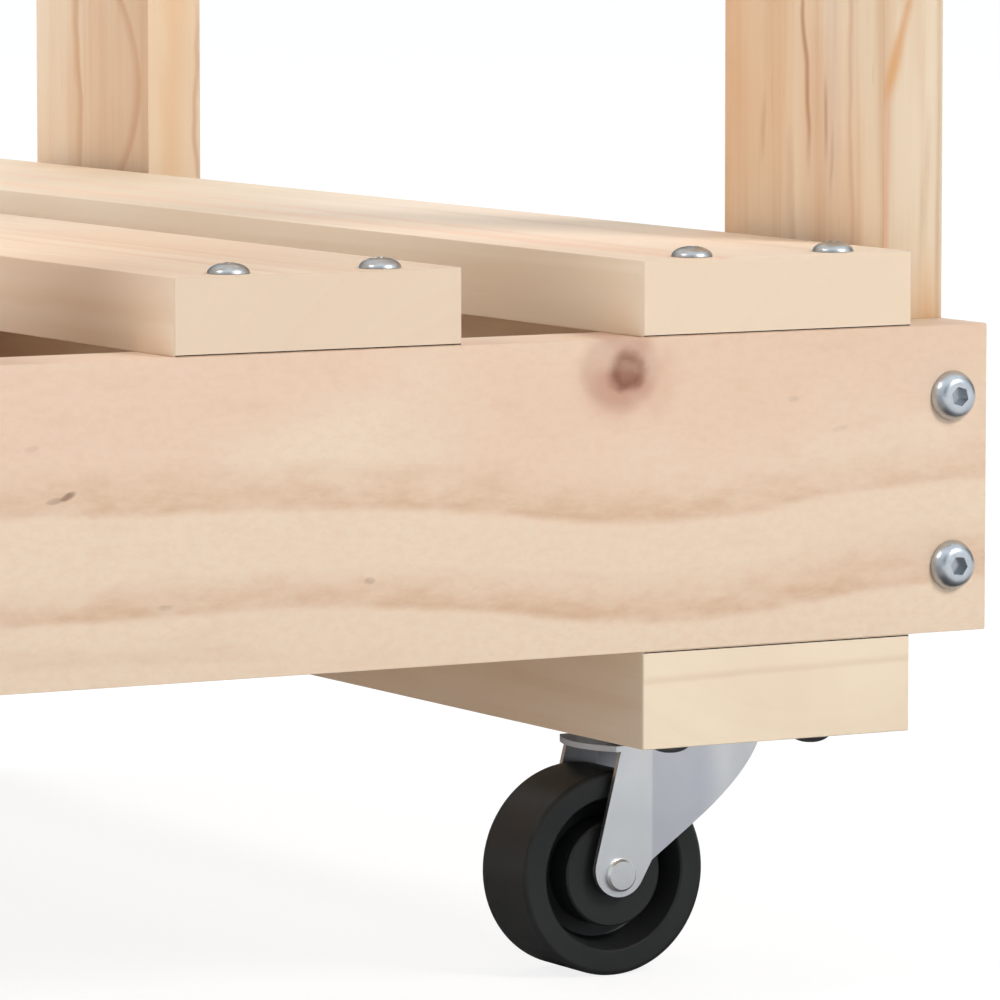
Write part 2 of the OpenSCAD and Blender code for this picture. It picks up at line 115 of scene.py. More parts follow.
# ------------------------------------------------------------------ node trees


def reckoning(operation: str, swapped: bool = False) -> Callable[..., "Value"]:
    """Makes a method of Value that adds one Math node.

    Args:
        operation: the node's operation.
        swapped: whether the other value comes first.

    Returns:
        The method.
    """

    def method(self: "Value", *others: object) -> "Value":
        """The operation on this value and the others."""
        return self.net.math(operation, *((*others, self) if swapped else (self, *others)))

    return method


class Value:
    """An output of a node, which can be reckoned with like a number: each step is a Math node."""

    __add__ = reckoning("ADD")
    __sub__ = reckoning("SUBTRACT")
    __rsub__ = reckoning("SUBTRACT", swapped=True)
    __mul__ = reckoning("MULTIPLY")
    __truediv__ = reckoning("DIVIDE")
    __rtruediv__ = reckoning("DIVIDE", swapped=True)
    __pow__ = reckoning("POWER")
    __gt__ = reckoning("GREATER_THAN")
    __lt__ = reckoning("LESS_THAN")
    __abs__ = reckoning("ABSOLUTE")

    def __init__(self, net: "Wiring", socket: Socket) -> None:
        """Keeps the socket and the wiring of its tree."""
        self.net, self.socket = net, socket


class Wiring:
    """Adds the nodes of one tree and links them."""

    def __init__(self, tree: Tree) -> None:
        """Keeps the tree that is wired."""
        self.tree = tree

    def feed(self, socket: Socket, value: object) -> None:
        """Links an input to a Value, or gives it a plain value."""
        if isinstance(value, Value):
            self.tree.links.new(value.socket, socket)
        else:
            socket.default_value = value

    def node(self, kind: str, settings: Settings = None, inputs: Inputs = None) -> Node:
        """Adds one node.

        Args:
            kind: Blender's name of the node's type.
            settings: properties of the node itself.
            inputs: what each input gets, by the input's name or number.

        Returns:
            The new node.
        """
        made = self.tree.nodes.new(kind)
        for name, value in (settings or {}).items():
            setattr(made, name, value)
        for key, value in (inputs or {}).items():
            self.feed(made.inputs[key], value)
        return made

    def out(self, kind: str, settings: Settings = None, inputs: Inputs = None,
            output: str | int = 0) -> Value:
        """Adds one node, as node() does, and gives one of its outputs."""
        return Value(self, self.node(kind, settings, inputs).outputs[output])

    def outputs(self, kind: str, settings: Settings = None, inputs: Inputs = None) -> dict[str, Value]:
        """Adds one node, as node() does, and gives its outputs by their names."""
        made = self.node(kind, settings, inputs)
        return {socket.name: Value(self, socket) for socket in made.outputs}

    def shape(self, kind: str, settings: Settings = None, **inputs: object) -> Value:
        """Adds one geometry node and gives its first output. In its inputs _ stands for a space."""
        named = {name.replace("_", " "): value for name, value in inputs.items()}
        return self.out(f"GeometryNode{kind}", settings, named)

    def math(self, operation: str, *values: object) -> Value:
        """One Math node: the operation on the values."""
        return self.out("ShaderNodeMath", {"operation": operation}, dict(enumerate(values)))

    def vector(self, operation: str, *values: object) -> Value:
        """One Vector Math node that puts out a vector."""
        inputs = dict(enumerate(values))
        return self.out("ShaderNodeVectorMath", {"operation": operation}, inputs, "Vector")

    def squeeze(self, place: Value, along: float) -> Value:
        """A place whose X counts for less, which draws a pattern out along X."""
        return self.vector("MULTIPLY", place, (along, 1.0, 1.0))

    def split(self, value: Value) -> tuple[Value, ...]:
        """The three parts of a vector."""
        parts = self.node("ShaderNodeSeparateXYZ", inputs={0: value}).outputs
        return tuple(Value(self, part) for part in parts)

    def join(self, x: object, y: object, z: object) -> Value:
        """A vector from its three parts."""
        return self.out("ShaderNodeCombineXYZ", inputs={0: x, 1: y, 2: z})

    def step(self, value: Value, low: float, high: float) -> Value:
        """0 below low, 1 above high, and a smooth rise between them."""
        inputs = {"Value": value, "From Min": low, "From Max": high}
        return self.out("ShaderNodeMapRange", {"interpolation_type": "SMOOTHSTEP"}, inputs)

    def spread(self, value: Value, low: float, high: float) -> Value:
        """Maps 0 to 1 onto low to high."""
        return self.out("ShaderNodeMapRange", inputs={"Value": value, "To Min": low, "To Max": high})

    def noise(self, place: Value, scale: object, detail: float = 2.0, rough: float = 0.5,
              output: int = 0) -> Value:
        """A Noise Texture: output 0 is its value, and COLOUR its colour."""
        inputs = {"Vector": place, "Scale": scale, "Detail": detail, "Roughness": rough}
        return self.out("ShaderNodeTexNoise", inputs=inputs, output=output)

    def blend(self, share: object, first: object, second: object, way: str = "MIX") -> Value:
        """Mixes two colours: share 0 gives the first, share 1 the second."""
        settings = {"data_type": "RGBA", "blend_type": way}
        return self.out("ShaderNodeMix", settings, {0: share, 6: first, 7: second}, 2)

    def between(self, share: Value, first: Value, second: object) -> Value:
        """Mixes two numbers: share 0 gives the first, share 1 the second."""
        return self.out("ShaderNodeMix", {"data_type": "FLOAT"}, {0: share, 2: first, 3: second})

    def bump(self, height: Value, depth: float, strength: float) -> Value:
        """A normal from a height of 0 to 1 over a depth in metres."""
        inputs = {"Height": height, "Distance": depth, "Strength": strength}
        return self.out("ShaderNodeBump", inputs=inputs)

    def attribute(self, name: str, output: str) -> Value:
        """A stored attribute of the mesh."""
        return self.out("ShaderNodeAttribute", {"attribute_name": name}, output=output)

    def close(self, sort: str, results: dict[str, Value]) -> Tree:
        """Gives a group its outputs.

        Args:
            sort: the type of all of them, Float or Geometry.
            results: what each output gives, by its name.

        Returns:
            The group's tree.
        """
        for label in results:
            self.tree.interface.new_socket(label, in_out="OUTPUT", socket_type=f"NodeSocket{sort}")
        self.node("NodeGroupOutput", inputs=results)
        return self.tree


def new_group(name: str, kind: str, inputs: dict[str, object]) -> tuple[Wiring, dict[str, Value]]:
    """Starts a node group with named inputs.

    Args:
        name: the group's name.
        kind: SHADER_TREE or GEOMETRY_TREE.
        inputs: the first value of each input by its name, or its type where it has none.

    Returns:
        The group's wiring and its inputs by their names.
    """
    tree = bpy.data.node_groups.new(name, kind)
    for label, first in inputs.items():
        typed = isinstance(first, str)
        sort = first if typed else type(first).__name__.capitalize()
        socket = tree.interface.new_socket(label, in_out="INPUT", socket_type=f"NodeSocket{sort}")
        if not typed:
            socket.default_value = first
    net = Wiring(tree)
    return net, net.outputs("NodeGroupInput")


class Effect(Enum):
    """The shader groups that several finishes share."""

    RINGS = "pine rings"
    KNOT = "pine knot"
    SPANGLE = "zinc spangle"
    SCUFF = "handling scuffs"


class EffectShelf:
    """Builds each shared shader group once and places it in materials."""

    def __init__(self) -> None:
        """Builds the four groups."""
        self.groups = {
            Effect.RINGS: self.rings(),
            Effect.KNOT: self.knot(),
            Effect.SPANGLE: self.spangle(),
            Effect.SCUFF: self.scuff(),
        }

    def place(self, net: Wiring, effect: Effect, **inputs: object) -> dict[str, Value]:
        """Puts a group into a material's tree and gives its outputs by their names."""
        return net.outputs("ShaderNodeGroup", {"node_tree": self.groups[effect]}, inputs)

    @staticmethod
    def rings() -> Tree:
        """Growth rings round the pith, which lies along X: pale wood that darkens, then stops.

        The rings are unevenly spaced and their lines fade in and out along the board.
        """
        net, entry = new_group(Effect.RINGS.value, SHADER_TREE, {
            "Place": "Vector", "Spacing": 6 * MM, "Wander": 3 * MM, "Sharpness": 2.0, "Fading": 0.5})
        place = entry["Place"]
        sway = net.noise(net.squeeze(place, 0.22), 16.0, output=COLOUR)
        sway = net.vector("SUBTRACT", sway, (0.5, 0.5, 0.5))
        sway = net.out("ShaderNodeVectorMath", {"operation": "SCALE"},
                       {0: sway, "Scale": entry["Wander"]}, "Vector")
        along, across, depth = net.split(net.vector("ADD", place, sway))
        radius = net.math("SQRT", across * across + depth * depth)
        count = radius / entry["Spacing"]
        uneven = net.out("ShaderNodeTexNoise", {"noise_dimensions": "1D"},
                         {"W": count * 0.7, "Scale": 1.0, "Detail": 1.0})
        count = uneven * 2.6 + count
        part, whole = net.math("FRACT", count), net.math("FLOOR", count)
        luck = net.out("ShaderNodeTexWhiteNoise", {"noise_dimensions": "1D"}, {"W": whole}, "Value")
        strength = net.spread(luck, 0.15, 1.0)
        fade = net.step(net.noise(net.join(along * 9.0, whole * 3.7, 0.0), 1.0, 1.0), 0.35, 0.62)
        fade = 1.0 - entry["Fading"] * (1.0 - fade)
        rise = part ** entry["Sharpness"]
        return net.close("Float", {
            "Ring": rise * (1.0 - net.step(part, 0.86, 1.0)) * (strength * fade),
            "Fibre": net.noise(net.squeeze(place, 0.02), 700.0, 3.0, 0.6),
            "Cloud": net.noise(net.squeeze(place, 0.3), 30.0, 3.0),
            "Streak": net.noise(net.squeeze(place, 0.05), 150.0),
            "Fleck": net.step(net.noise(net.squeeze(place, 0.12), 620.0, 1.0), 0.72, 0.8)})

    @staticmethod
    def knot() -> Tree:
        """A small knot seen on a face: brown mottled heart, paler patchy rim and a soft glow."""
        net, entry = new_group(Effect.KNOT.value, SHADER_TREE,
                               {"Place": "Vector", "Centre": "Vector", "Radius": 5 * MM})
        offset = net.vector("SUBTRACT", entry["Place"], entry["Centre"])
        offset = net.vector("MULTIPLY", offset, (0.95, 0.2, 1.05))
        shove = net.noise(offset, 190.0, 3.0, 0.55, COLOUR)
        shove = net.vector("SUBTRACT", shove, (0.5, 0.5, 0.5))
        shove = net.vector("MULTIPLY", shove, (4 * MM, 4 * MM, 4 * MM))

        def reach(place: Value, shift: Point) -> Value:
            """Distance from a shifted centre in knot radii."""
            apart = net.vector("SUBTRACT", place, shift)
            length = net.out("ShaderNodeVectorMath", {"operation": "LENGTH"}, {0: apart}, "Value")
            return length / entry["Radius"]

        moved = reach(net.vector("ADD", offset, shove), (0.0, 0.0, 0.0))
        spots = net.step(net.noise(offset, 150.0, 1.0), 0.4, 0.6) * 0.25 + 0.75
        spots = spots * (net.step(moved, 0.15, 0.75) * 0.25 + 0.7)
        patches = net.step(net.noise(offset, 90.0, 1.0), 0.38, 0.62)
        rim = 1.0 - net.step(reach(offset, (-1.9 * MM, 0.0, 0.2 * MM)), 1.5, 2.25)
        glow = 1.0 - net.step(reach(offset, (0.0, 0.0, -1.0 * MM)), 0.8, 3.2)
        return net.close("Float", {
            "Heart": spots * (1.0 - net.step(moved, 0.5, 1.25)),
            "Rim": rim * (patches * 0.45 + 0.55),
            "Glow": glow * (patches * 0.75 + 0.25)})

    @staticmethod
    def spangle() -> Tree:
        """Soft patches and fine pits of a zinc coat."""
        net, entry = new_group(Effect.SPANGLE.value, SHADER_TREE,
                               {"Place": "Vector", "Size": 3 * MM})
        scale = 1.0 / entry["Size"]
        return net.close("Float", {"Patch": net.noise(entry["Place"], scale),
                                   "Grit": net.noise(entry["Place"], scale * 9.0)})

    @staticmethod
    def scuff() -> Tree:
        """Faint rubbed streaks and dust on a moulded face."""
        net, entry = new_group(Effect.SCUFF.value, SHADER_TREE,
                               {"Place": "Vector", "Scale": 60.0})
        stretched = net.vector("MULTIPLY", entry["Place"], (1.0, 6.0, 1.0))
        return net.close("Float", {
            "Streak": net.step(net.noise(stretched, entry["Scale"], 3.0, 0.6), 0.5, 0.75),
            "Dust": net.noise(entry["Place"], entry["Scale"] * 12.0, 4.0, 0.7)})


# -------------------------------------------------------------------- finishes


def cleared(owner: Material | bpy.types.World) -> Wiring:
    """Empties the node tree of a material or a world for new wiring."""
    owner.use_nodes = True
    owner.node_tree.nodes.clear()
    return Wiring(owner.node_tree)


def new_material(name: str) -> tuple[Material, Wiring, Node]:
    """Starts a material with one Principled BSDF: the material, its wiring and its shader."""
    material = bpy.data.materials.new(name)
    net = cleared(material)
    shader = net.node("ShaderNodeBsdfPrincipled")
    net.node("ShaderNodeOutputMaterial", inputs={"Surface": Value(net, shader.outputs[0])})
    return material, net, shader


@dataclass(frozen=True)
class Vein:
    """One drawn line of late wood on a face, or a wide band that tints one, followed along one axis of the
    cart. Some wide bands are painted light or painted shade.

    The line lies at the middle plus slope and bend times the way from the level, between the
    start and the stop, and wavers a little. Its soft side spreads over the width, the sharp side
    over a share of it. A negative width spreads it the other way. Lengths are in millimetres,
    and the bend is per metre.
    """

    across: int
    along: int
    middle: float
    level: float
    width: float
    strength: float
    colour: Colour
    slope: float = 0.0
    bend: float = 0.0
    start: float = -1000.0
    stop: float = 2000.0
    blur: float = 10.0
    sharp: float = 0.35
    sway: float = 6.0

    def share(self, net: Wiring, parts: Sequence[Value], normal: Sequence[Value],
              waver: Sequence[Value]) -> Value:
        """How strongly the line or band colours a point.

        Args:
            net: the material's wiring.
            parts: the three object coordinates.
            normal: the three parts of the face's own direction.
            waver: a noise about 0 that bends the line, and one of 0 to 1 for its strength.

        Returns:
            The share, 0 to 1, and 0 on faces that the line or band isn't on.
        """
        along = parts[self.along]
        width, blur = abs(self.width) * MM, self.blur * MM
        way = along - self.level * MM
        line = way * self.slope + (way * way * self.bend + self.middle * MM)
        line = waver[0] * (self.sway * MM) + line
        off = (parts[self.across] - line) * math.copysign(1.0, self.width)
        band = (1.0 - net.step(off, 0.0, width)) * net.step(off, -width * self.sharp, 0.0)
        rise, fall = (net.step(along, at * MM - blur, at * MM + blur) for at in (self.start, self.stop))
        facing = abs(normal[X + Y + Z - self.across - self.along]) > 0.5
        uneven = net.spread(waver[1], self.strength * 0.55, self.strength * 1.45)
        return band * (rise * (1.0 - fall)) * facing * uneven


@dataclass(frozen=True)
class PineFinish:
    """Planed, untreated pine, coloured by where the board lay in its log; some of its bands paint light and
    shade, and its hairline paints the shadow in a gap.
    """

    name: str
    pale: Colour = shade(238, 215, 188)
    warm: Colour = shade(234, 203, 176)
    dark: Colour = shade(205, 161, 118)
    cream: Colour = shade(238, 220, 194)
    # painted shadow: the dark colour of the hairline that stands for the shade in the gap where one board
    # lies on another
    gap: Colour = shade(40, 32, 28)
    ring_spacing: float = 7 * MM
    ring_sharpness: float = 2.0
    ring_strength: float = 0.6
    wander: float = 3 * MM
    fibre_strength: float = 0.12
    streak: Colour = shade(222, 178, 140)
    streak_strength: float = 0.35
    fading: float = 0.6
    roughness: float = 0.62
    specular: float = 0.3
    veins: tuple[Vein, ...] = ()
    joint_level: float = 0.0
    joint_height: float = 0.4 * MM

    def material(self, effects: EffectShelf) -> Material:
        """Makes the material, which reads the boards' log place and end grain.

        Args:
            effects: the shared shader groups.

        Returns:
            The pine material.
        """
        material, net, shader = new_material(self.name)
        rings = effects.place(net, Effect.RINGS, Place=net.attribute(PLACE, "Vector"),
                              Spacing=self.ring_spacing, Wander=self.wander,
                              Sharpness=self.ring_sharpness, Fading=self.fading)
        colour, height = self.face(net, effects, rings)
        spot = net.outputs("ShaderNodeTexCoord")
        parts, normal = net.split(spot["Object"]), net.split(spot["Normal"])
        cream = net.blend(net.spread(rings["Cloud"], 0.0, 0.5), self.cream, self.warm)
        cream = net.blend(rings["Ring"] * 0.12, cream, self.dark)
        colour = net.blend(net.attribute(END, "Fac"), colour, cream)
        if self.veins:
            bend, uneven, _ = net.split(net.noise(spot["Object"], 38.0, output=COLOUR))
            waver = (bend - 0.5, uneven)
            # veins of grain, and on some boards wide bands of painted light and shade
            for vein_or_light in self.veins:
                colour = net.blend(vein_or_light.share(net, parts, normal, waver), colour, vein_or_light.colour)
        # painted shadow: a dark hairline on the boards' ends, at the level where they lie on the board
        # below
        if self.joint_level > 0:
            colour = net.blend(self.joint(parts, normal), colour, self.gap)
        net.feed(shader.inputs["Base Color"], colour)
        shader.inputs["Specular IOR Level"].default_value = self.specular
        net.feed(shader.inputs["Roughness"],
                 net.spread(rings["Fibre"], self.roughness - 0.08, self.roughness + 0.1))
        net.feed(shader.inputs["Normal"], net.bump(height, 0.05 * MM, 0.5))
        return material

    def joint(self, parts: Sequence[Value], normal: Sequence[Value]) -> Value:
        """Where the painted shadow of the gap between two boards lies on a board's ends, as a dark hairline
        at the level of the edge board's edge.
        """
        return (abs(normal[Y]) > 0.5) * (abs(parts[Z] - self.joint_level) < self.joint_height)

    def face(self, net: Wiring, effects: EffectShelf, rings: dict[str, Value]) -> tuple[Value, Value]:
        """Colours a planed face.

        Args:
            net: the material's wiring.
            effects: the shared shader groups.
            rings: the outputs of the growth rings.

        Returns:
            The colour and the height of the face.
        """
        colour = net.blend(net.step(rings["Cloud"], 0.3, 0.72), self.pale, self.warm)
        colour = net.blend(rings["Ring"] * self.ring_strength, colour, self.dark)
        streak = net.step(rings["Streak"], 0.42, 0.68) * self.streak_strength
        colour = net.blend(streak, colour, self.streak)
        fibre = net.step(rings["Fibre"], 0.45, 0.8) * self.fibre_strength
        colour = net.blend(fibre, colour, self.dark)
        colour = net.blend(rings["Fleck"] * 0.18, colour, self.dark)
        return colour, rings["Ring"] - rings["Fibre"]


@dataclass(frozen=True)
class GrainBand:
    """One dark band on the front board, in millimetres: sharp below, fading upwards."""

    level: float
    left_height: float
    right_height: float
    strength: float
    start: float = -1000.0
    stop: float = 1000.0


@dataclass(frozen=True)
class Mark:
    """A small dark mark on the front board's face, in millimetres and degrees."""

    x: float
    z: float
    length: float
    height: float
    tilt: float
    strength: float


@dataclass(frozen=True)
class KnottyPineFinish(PineFinish):
    """The front edge board: swept bands that bend under a knot, and a few marks."""

    knot_at: Point = (77 * MM, -0.241, 142.9 * MM)
    knot_radius: float = 4.9 * MM
    sweep_x: float = 86 * MM
    sweep_depth: float = 6.8 * MM
    sweep_reach: float = 52 * MM
    slope: float = 0.009
    band_ends: tuple[float, float] = (-80 * MM, 172 * MM)
    band_fade: float = 30 * MM
    mark_colour: Colour = shade(120, 84, 66)
    bands: tuple[GrainBand, ...] = (
        GrainBand(116.9, 12, 10, 0.8),
        GrainBand(94.6, 8, 13, 0.85),
        GrainBand(84.4, 5, 4, 0.3, stop=-10),
    )
    marks: tuple[Mark, ...] = (
        Mark(-60.4, 121.4, 3.2, 1.3, 22, 0.6),
        Mark(-63.6, 120.5, 3.4, 1.2, 8, 0.35),
        Mark(12.1, 99.6, 2.4, 1.3, 0, 0.28),
        Mark(-68.8, 131.9, 3.4, 1.2, 10, 0.12),
        Mark(119.8, 134.8, 2.6, 1.2, 0, 0.14),
        Mark(132.2, 127.7, 3.4, 1.2, 12, 0.14),
        Mark(-37.6, 96.4, 3.4, 1.1, 0, 0.2),
    )

    def face(self, net: Wiring, effects: EffectShelf, rings: dict[str, Value]) -> tuple[Value, Value]:
        """Colours the planed faces, with the bands, the knot and the marks.

        Args:
            net: the material's wiring.
            effects: the shared shader groups.
            rings: the outputs of the growth rings.

        Returns:
            The colour and the height of the face.
        """
        place = net.out("ShaderNodeTexCoord", output="Object")
        x, _, z = net.split(place)
        level = self.level(net, place, x, z)
        upper = net.step(level, 118 * MM, 132 * MM)
        blush = net.step(net.noise(net.squeeze(place, 0.55), 26.0), 0.3, 0.62)
        colour = net.blend(blush * net.spread(upper, 0.2, 1.0), self.pale, self.warm)
        streaks = net.noise(net.squeeze(place, 0.3), 210.0, 4.0, 0.65)
        mottle = net.step(net.noise(net.squeeze(place, 0.6), 560.0, 3.0, 0.6), 0.4, 0.66) * 0.13
        colour = net.blend(mottle, colour, self.streak)
        for band in self.bands:
            colour = net.blend(self.band_share(net, band, x, level, streaks), colour, self.dark)
        fibre = net.step(streaks, 0.5, 0.8) * self.fibre_strength
        colour = net.blend(fibre, colour, self.dark)
        for mark in self.marks:
            share = self.mark_share(net, mark, x, z) * net.spread(mottle, 0.8, 4.0)
            colour = net.blend(share, colour, self.mark_colour)
        return self.knotted(net, effects, place, colour), rings["Fibre"]

    def level(self, net: Wiring, place: Value, x: Value, z: Value) -> Value:
        """Height on the face as the grain counts it: the grain dips under the knot."""
        away = (x - self.sweep_x) / self.sweep_reach
        dip = net.math("EXPONENT", away * away * -1.0)
        level = x * self.slope + (dip * self.sweep_depth + z)
        waver = net.noise(net.squeeze(place, 0.35), 60.0, 3.0)
        return (waver - 0.5) * (3.2 * MM) + level

    def band_share(self, net: Wiring, band: GrainBand, x: Value, level: Value, streaks: Value) -> Value:
        """How dark one band is at a point."""
        start, stop = band.start * MM, band.stop * MM
        height = net.spread(net.step(x, *self.band_ends), band.left_height * MM, band.right_height * MM)
        above = level - band.level * MM
        fade = 1.0 - net.math("MINIMUM", net.math("MAXIMUM", above / height, 0.0), 1.0)
        edge = net.step(above, -1.5 * MM, 1.1 * MM)
        rise, fall = (net.step(x, at, at + self.band_fade) for at in (start, stop - self.band_fade))
        uneven = net.spread(net.step(streaks, 0.3, 0.7), 0.45, 1.3)
        reach = rise * (1.0 - fall)
        return fade ** 1.05 * edge * reach * (uneven * band.strength) * self.ring_strength

    def mark_share(self, net: Wiring, mark: Mark, x: Value, z: Value) -> Value:
        """How dark one small mark is at a point."""
        right, up = x - mark.x * MM, z - mark.z * MM
        turn = math.radians(mark.tilt)
        along = (right * math.cos(turn) + up * math.sin(turn)) / (mark.length * MM / 2)
        over = (up * math.cos(turn) - right * math.sin(turn)) / (mark.height * MM / 2)
        return (1.0 - net.step(along * along + over * over, 0.2, 2.2)) * mark.strength

    def knotted(self, net: Wiring, effects: EffectShelf, place: Value, colour: Value) -> Value:
        """Lays the knot over a colour."""
        knot = effects.place(net, Effect.KNOT, Place=place, Centre=self.knot_at, Radius=self.knot_radius)
        colour = net.blend(knot["Rim"] * 0.75, colour, shade(198, 164, 142))
        colour = net.blend(knot["Glow"] * 0.48, colour, shade(200, 142, 120))
        return net.blend(knot["Heart"], colour, shade(132, 82, 60))


@dataclass(frozen=True)
class MetalFinish:
    """Zinc-coated steel: sheet, pins and fasteners."""

    name: str
    light: Colour = shade(238, 239, 239)
    dull: Colour = shade(232, 234, 234)
    roughness: float = 0.3
    spread: float = 0.1
    patch_size: float = 3 * MM
    dent: float = 0.02 * MM
    grime: float = 0.0

    def toned(self, net: Wiring, colour: Value) -> Value:
        """Paints shade into the drive recesses of heads, darkening them towards a dark blue-grey."""
        if self.grime == 0:
            return colour
        # painted shade: the recess faces are mixed towards a dark blue-grey
        return net.blend(net.attribute(RECESS, "Fac") * self.grime, colour, shade(74, 76, 84))

    def material(self, effects: EffectShelf) -> Material:
        """Makes the metal from the shared shader groups."""
        material, net, shader = new_material(self.name)
        place = net.out("ShaderNodeTexCoord", output="Object")
        coat = effects.place(net, Effect.SPANGLE, Place=place, Size=self.patch_size)
        shader.inputs["Metallic"].default_value = 1.0
        colour = net.blend(net.step(coat["Patch"], 0.3, 0.7), self.light, self.dull)
        net.feed(shader.inputs["Base Color"], self.toned(net, colour))
        low, high = self.roughness - self.spread / 2, self.roughness + self.spread / 2
        net.feed(shader.inputs["Roughness"], net.spread(coat["Patch"], low, high))
        net.feed(shader.inputs["Normal"], net.bump(coat["Grit"], self.dent, 0.4))
        return material


@dataclass(frozen=True)
class PressedSheetFinish(MetalFinish):
    """Zinc sheet of a fork, with painted shade: the wrapped wall is darker and bluer than the legs."""

    swivel_x: float = 0.116
    bend_x: float = -9.5 * MM
    curve_x: float = 3 * MM
    wall_tone: Colour = (0.8, 0.8, 0.845, 1.0)

    def toned(self, net: Wiring, colour: Value) -> Value:
        """Paints shade on the wrapped wall, which is found by its way from the swivel axis."""
        x = net.split(net.out("ShaderNodeTexCoord", output="Object"))[X]
        away = x - net.math("SIGN", x) * self.swivel_x
        # painted shade: from the bend on the wall is darker and bluer, fading back out past the start of
        # its curve
        wall = net.step(away, self.bend_x - 0.25 * MM, self.bend_x + 0.35 * MM)
        share = wall * (1.0 - net.step(away, self.curve_x, self.curve_x + 8 * MM))
        return net.blend(1.0, colour, net.blend(share, grey(1.0), self.wall_tone), "MULTIPLY")


@dataclass(frozen=True)
class PlasticFinish:
    """Moulded black plastic of the wheels."""

    name: str
    black: Colour = shade(37, 39, 39)
    dusty: Colour = shade(46, 47, 46)
    roughness: float = 0.42
    specular: float = 0.36
    scuff_scale: float = 70.0

    def material(self, effects: EffectShelf) -> Material:
        """Makes the plastic from the shared shader groups."""
        material, net, shader = new_material(self.name)
        place = net.out("ShaderNodeTexCoord", output="Object")
        scuff = effects.place(net, Effect.SCUFF, Place=place, Scale=self.scuff_scale)
        shader.inputs["Specular IOR Level"].default_value = self.specular
        net.feed(shader.inputs["Base Color"], net.blend(scuff["Streak"] * 0.35, self.black, self.dusty))
        net.feed(shader.inputs["Roughness"],
                 net.spread(scuff["Dust"], self.roughness - 0.07, self.roughness + 0.07))
        net.feed(shader.inputs["Normal"], net.bump(scuff["Dust"], 0.02 * MM, 0.3))
        return material


class Slot(Enum):
    """The record's material slots, which the boards list but which nothing here gives to the pieces."""

    BOARD = "pine_board"
    POST = "pine_post"
    DECK = "pine_deck"
    RAIL = "pine_rail"
    ZINC = "zinc"


# ------------------------------------------------------- shapes by geometry nodes


def run_tree(name: str, tree: Tree, inputs: dict[str, object], start: Mesh | None = None) -> Mesh:
    """Runs a geometry tree and returns its result as a plain mesh.

    Args:
        name: name of the new mesh.
        tree: the geometry tree.
        inputs: value of each named input.
        start: the mesh that the tree begins with, if it takes one.

    Returns:
        The mesh that the tree makes.
    """
    carrier = add_object(f"{name}_carrier", start or bpy.data.meshes.new(f"{name}_start"))
    modifier = carrier.modifiers.new("shape", "NODES")
    modifier.node_group = tree
    for item in tree.interface.items_tree:
        if item.in_out == "INPUT" and item.name in inputs:
            modifier[item.identifier] = inputs[item.name]
    bpy.context.view_layer.update()
    graph = bpy.context.evaluated_depsgraph_get()
    mesh = bpy.data.meshes.new_from_object(carrier.evaluated_get(graph))
    mesh.name = name
    bpy.data.objects.remove(carrier)
    return mesh


def board_tree() -> Tree:
    """Geometry tree of one planed board along X, with eased edges and its place in the log."""
    net, size = new_group("planed board", GEOMETRY_TREE, {
        "Length": 1.0, "Width": 0.07, "Thickness": 0.02, "Arris": 0.3 * MM, "Pith Across": 0.0,
        "Pith Depth": 0.0, "Run Out": 0.0, "Start": 0.0, "Material": "Material"})
    half, arris = size["Length"] / 2.0, size["Arris"]
    line = net.shape("MeshLine", Count=4, Offset=(1.0, 0.0, 0.0))
    index = net.shape("InputIndex") - 1.5
    along = net.math("SIGN", index) * (half - (abs(index) < 1.0) * arris)
    path = net.shape("SetPosition", Geometry=line, Position=net.join(along, 0.0, 0.0))
    path = net.shape("MeshToCurve", Mesh=path)
    outline = net.shape("CurvePrimitiveQuadrilateral", Width=size["Width"], Height=size["Thickness"])
    eased = net.shape("FilletCurve", {"mode": "POLY"}, Curve=outline, Count=3, Radius=arris)
    board = net.shape("CurveToMesh", Curve=path, Profile_Curve=eased, Fill_Caps=True)
    x, y, z = net.split(net.shape("InputPosition"))
    at_end = abs(x) > half - arris * 0.5
    inset = arris * -0.7
    shift = net.join(0.0, net.math("SIGN", y) * inset, net.math("SIGN", z) * inset)
    board = net.shape("SetPosition", Geometry=board, Selection=at_end, Offset=shift)
    depth = z - size["Pith Depth"] - x * size["Run Out"]
    place = net.join(x + size["Start"], y - size["Pith Across"], depth)
    board = net.shape("StoreNamedAttribute", {"data_type": "FLOAT_VECTOR", "domain": "POINT"},
                      Geometry=board, Name=PLACE, Value=place)
    is_end = abs(net.split(net.shape("InputNormal"))[X]) > 0.5
    board = net.shape("StoreNamedAttribute", {"data_type": "FLOAT", "domain": "FACE"},
                      Geometry=board, Name=END, Value=is_end)
    board = net.shape("SetMaterial", Geometry=board, Material=size["Material"])
    return net.close("Geometry", {"Geometry": net.shape("RealizeInstances", Geometry=board)})


class Drive(Enum):
    """What turns a fastener."""

    CROSS = "cross recess"
    HEXAGON = "hexagon socket"


@dataclass(frozen=True)
class TurnedPoint:
    """A point on a fastener's outline, in shares of its sizes."""

    head: float = 0.0
    shank: float = 0.0
    rise: float = 0.0
    drop: float = 0.0


def shaft(tip: float, taper: float, brim: float) -> list[TurnedPoint]:
    """Outline of a shank from its tip, out to the brim of its head."""
    return [TurnedPoint(drop=1.0), TurnedPoint(shank=tip, drop=1.0), TurnedPoint(shank=1.0, drop=taper),
            TurnedPoint(shank=1.0), TurnedPoint(head=0.97), TurnedPoint(head=1.0, rise=brim)]


def domed_outline(brim: float = 0.05, steps: int = 10) -> list[TurnedPoint]:
    """Outline of a pointed wood screw with a domed head, from its tip to the head's top."""
    points = shaft(0.15, 0.88, brim)
    for step in range(1, steps + 1):
        turn = step / steps * math.pi / 2
        points.append(TurnedPoint(head=math.cos(turn), rise=brim + (1 - brim) * math.sin(turn)))
    return points


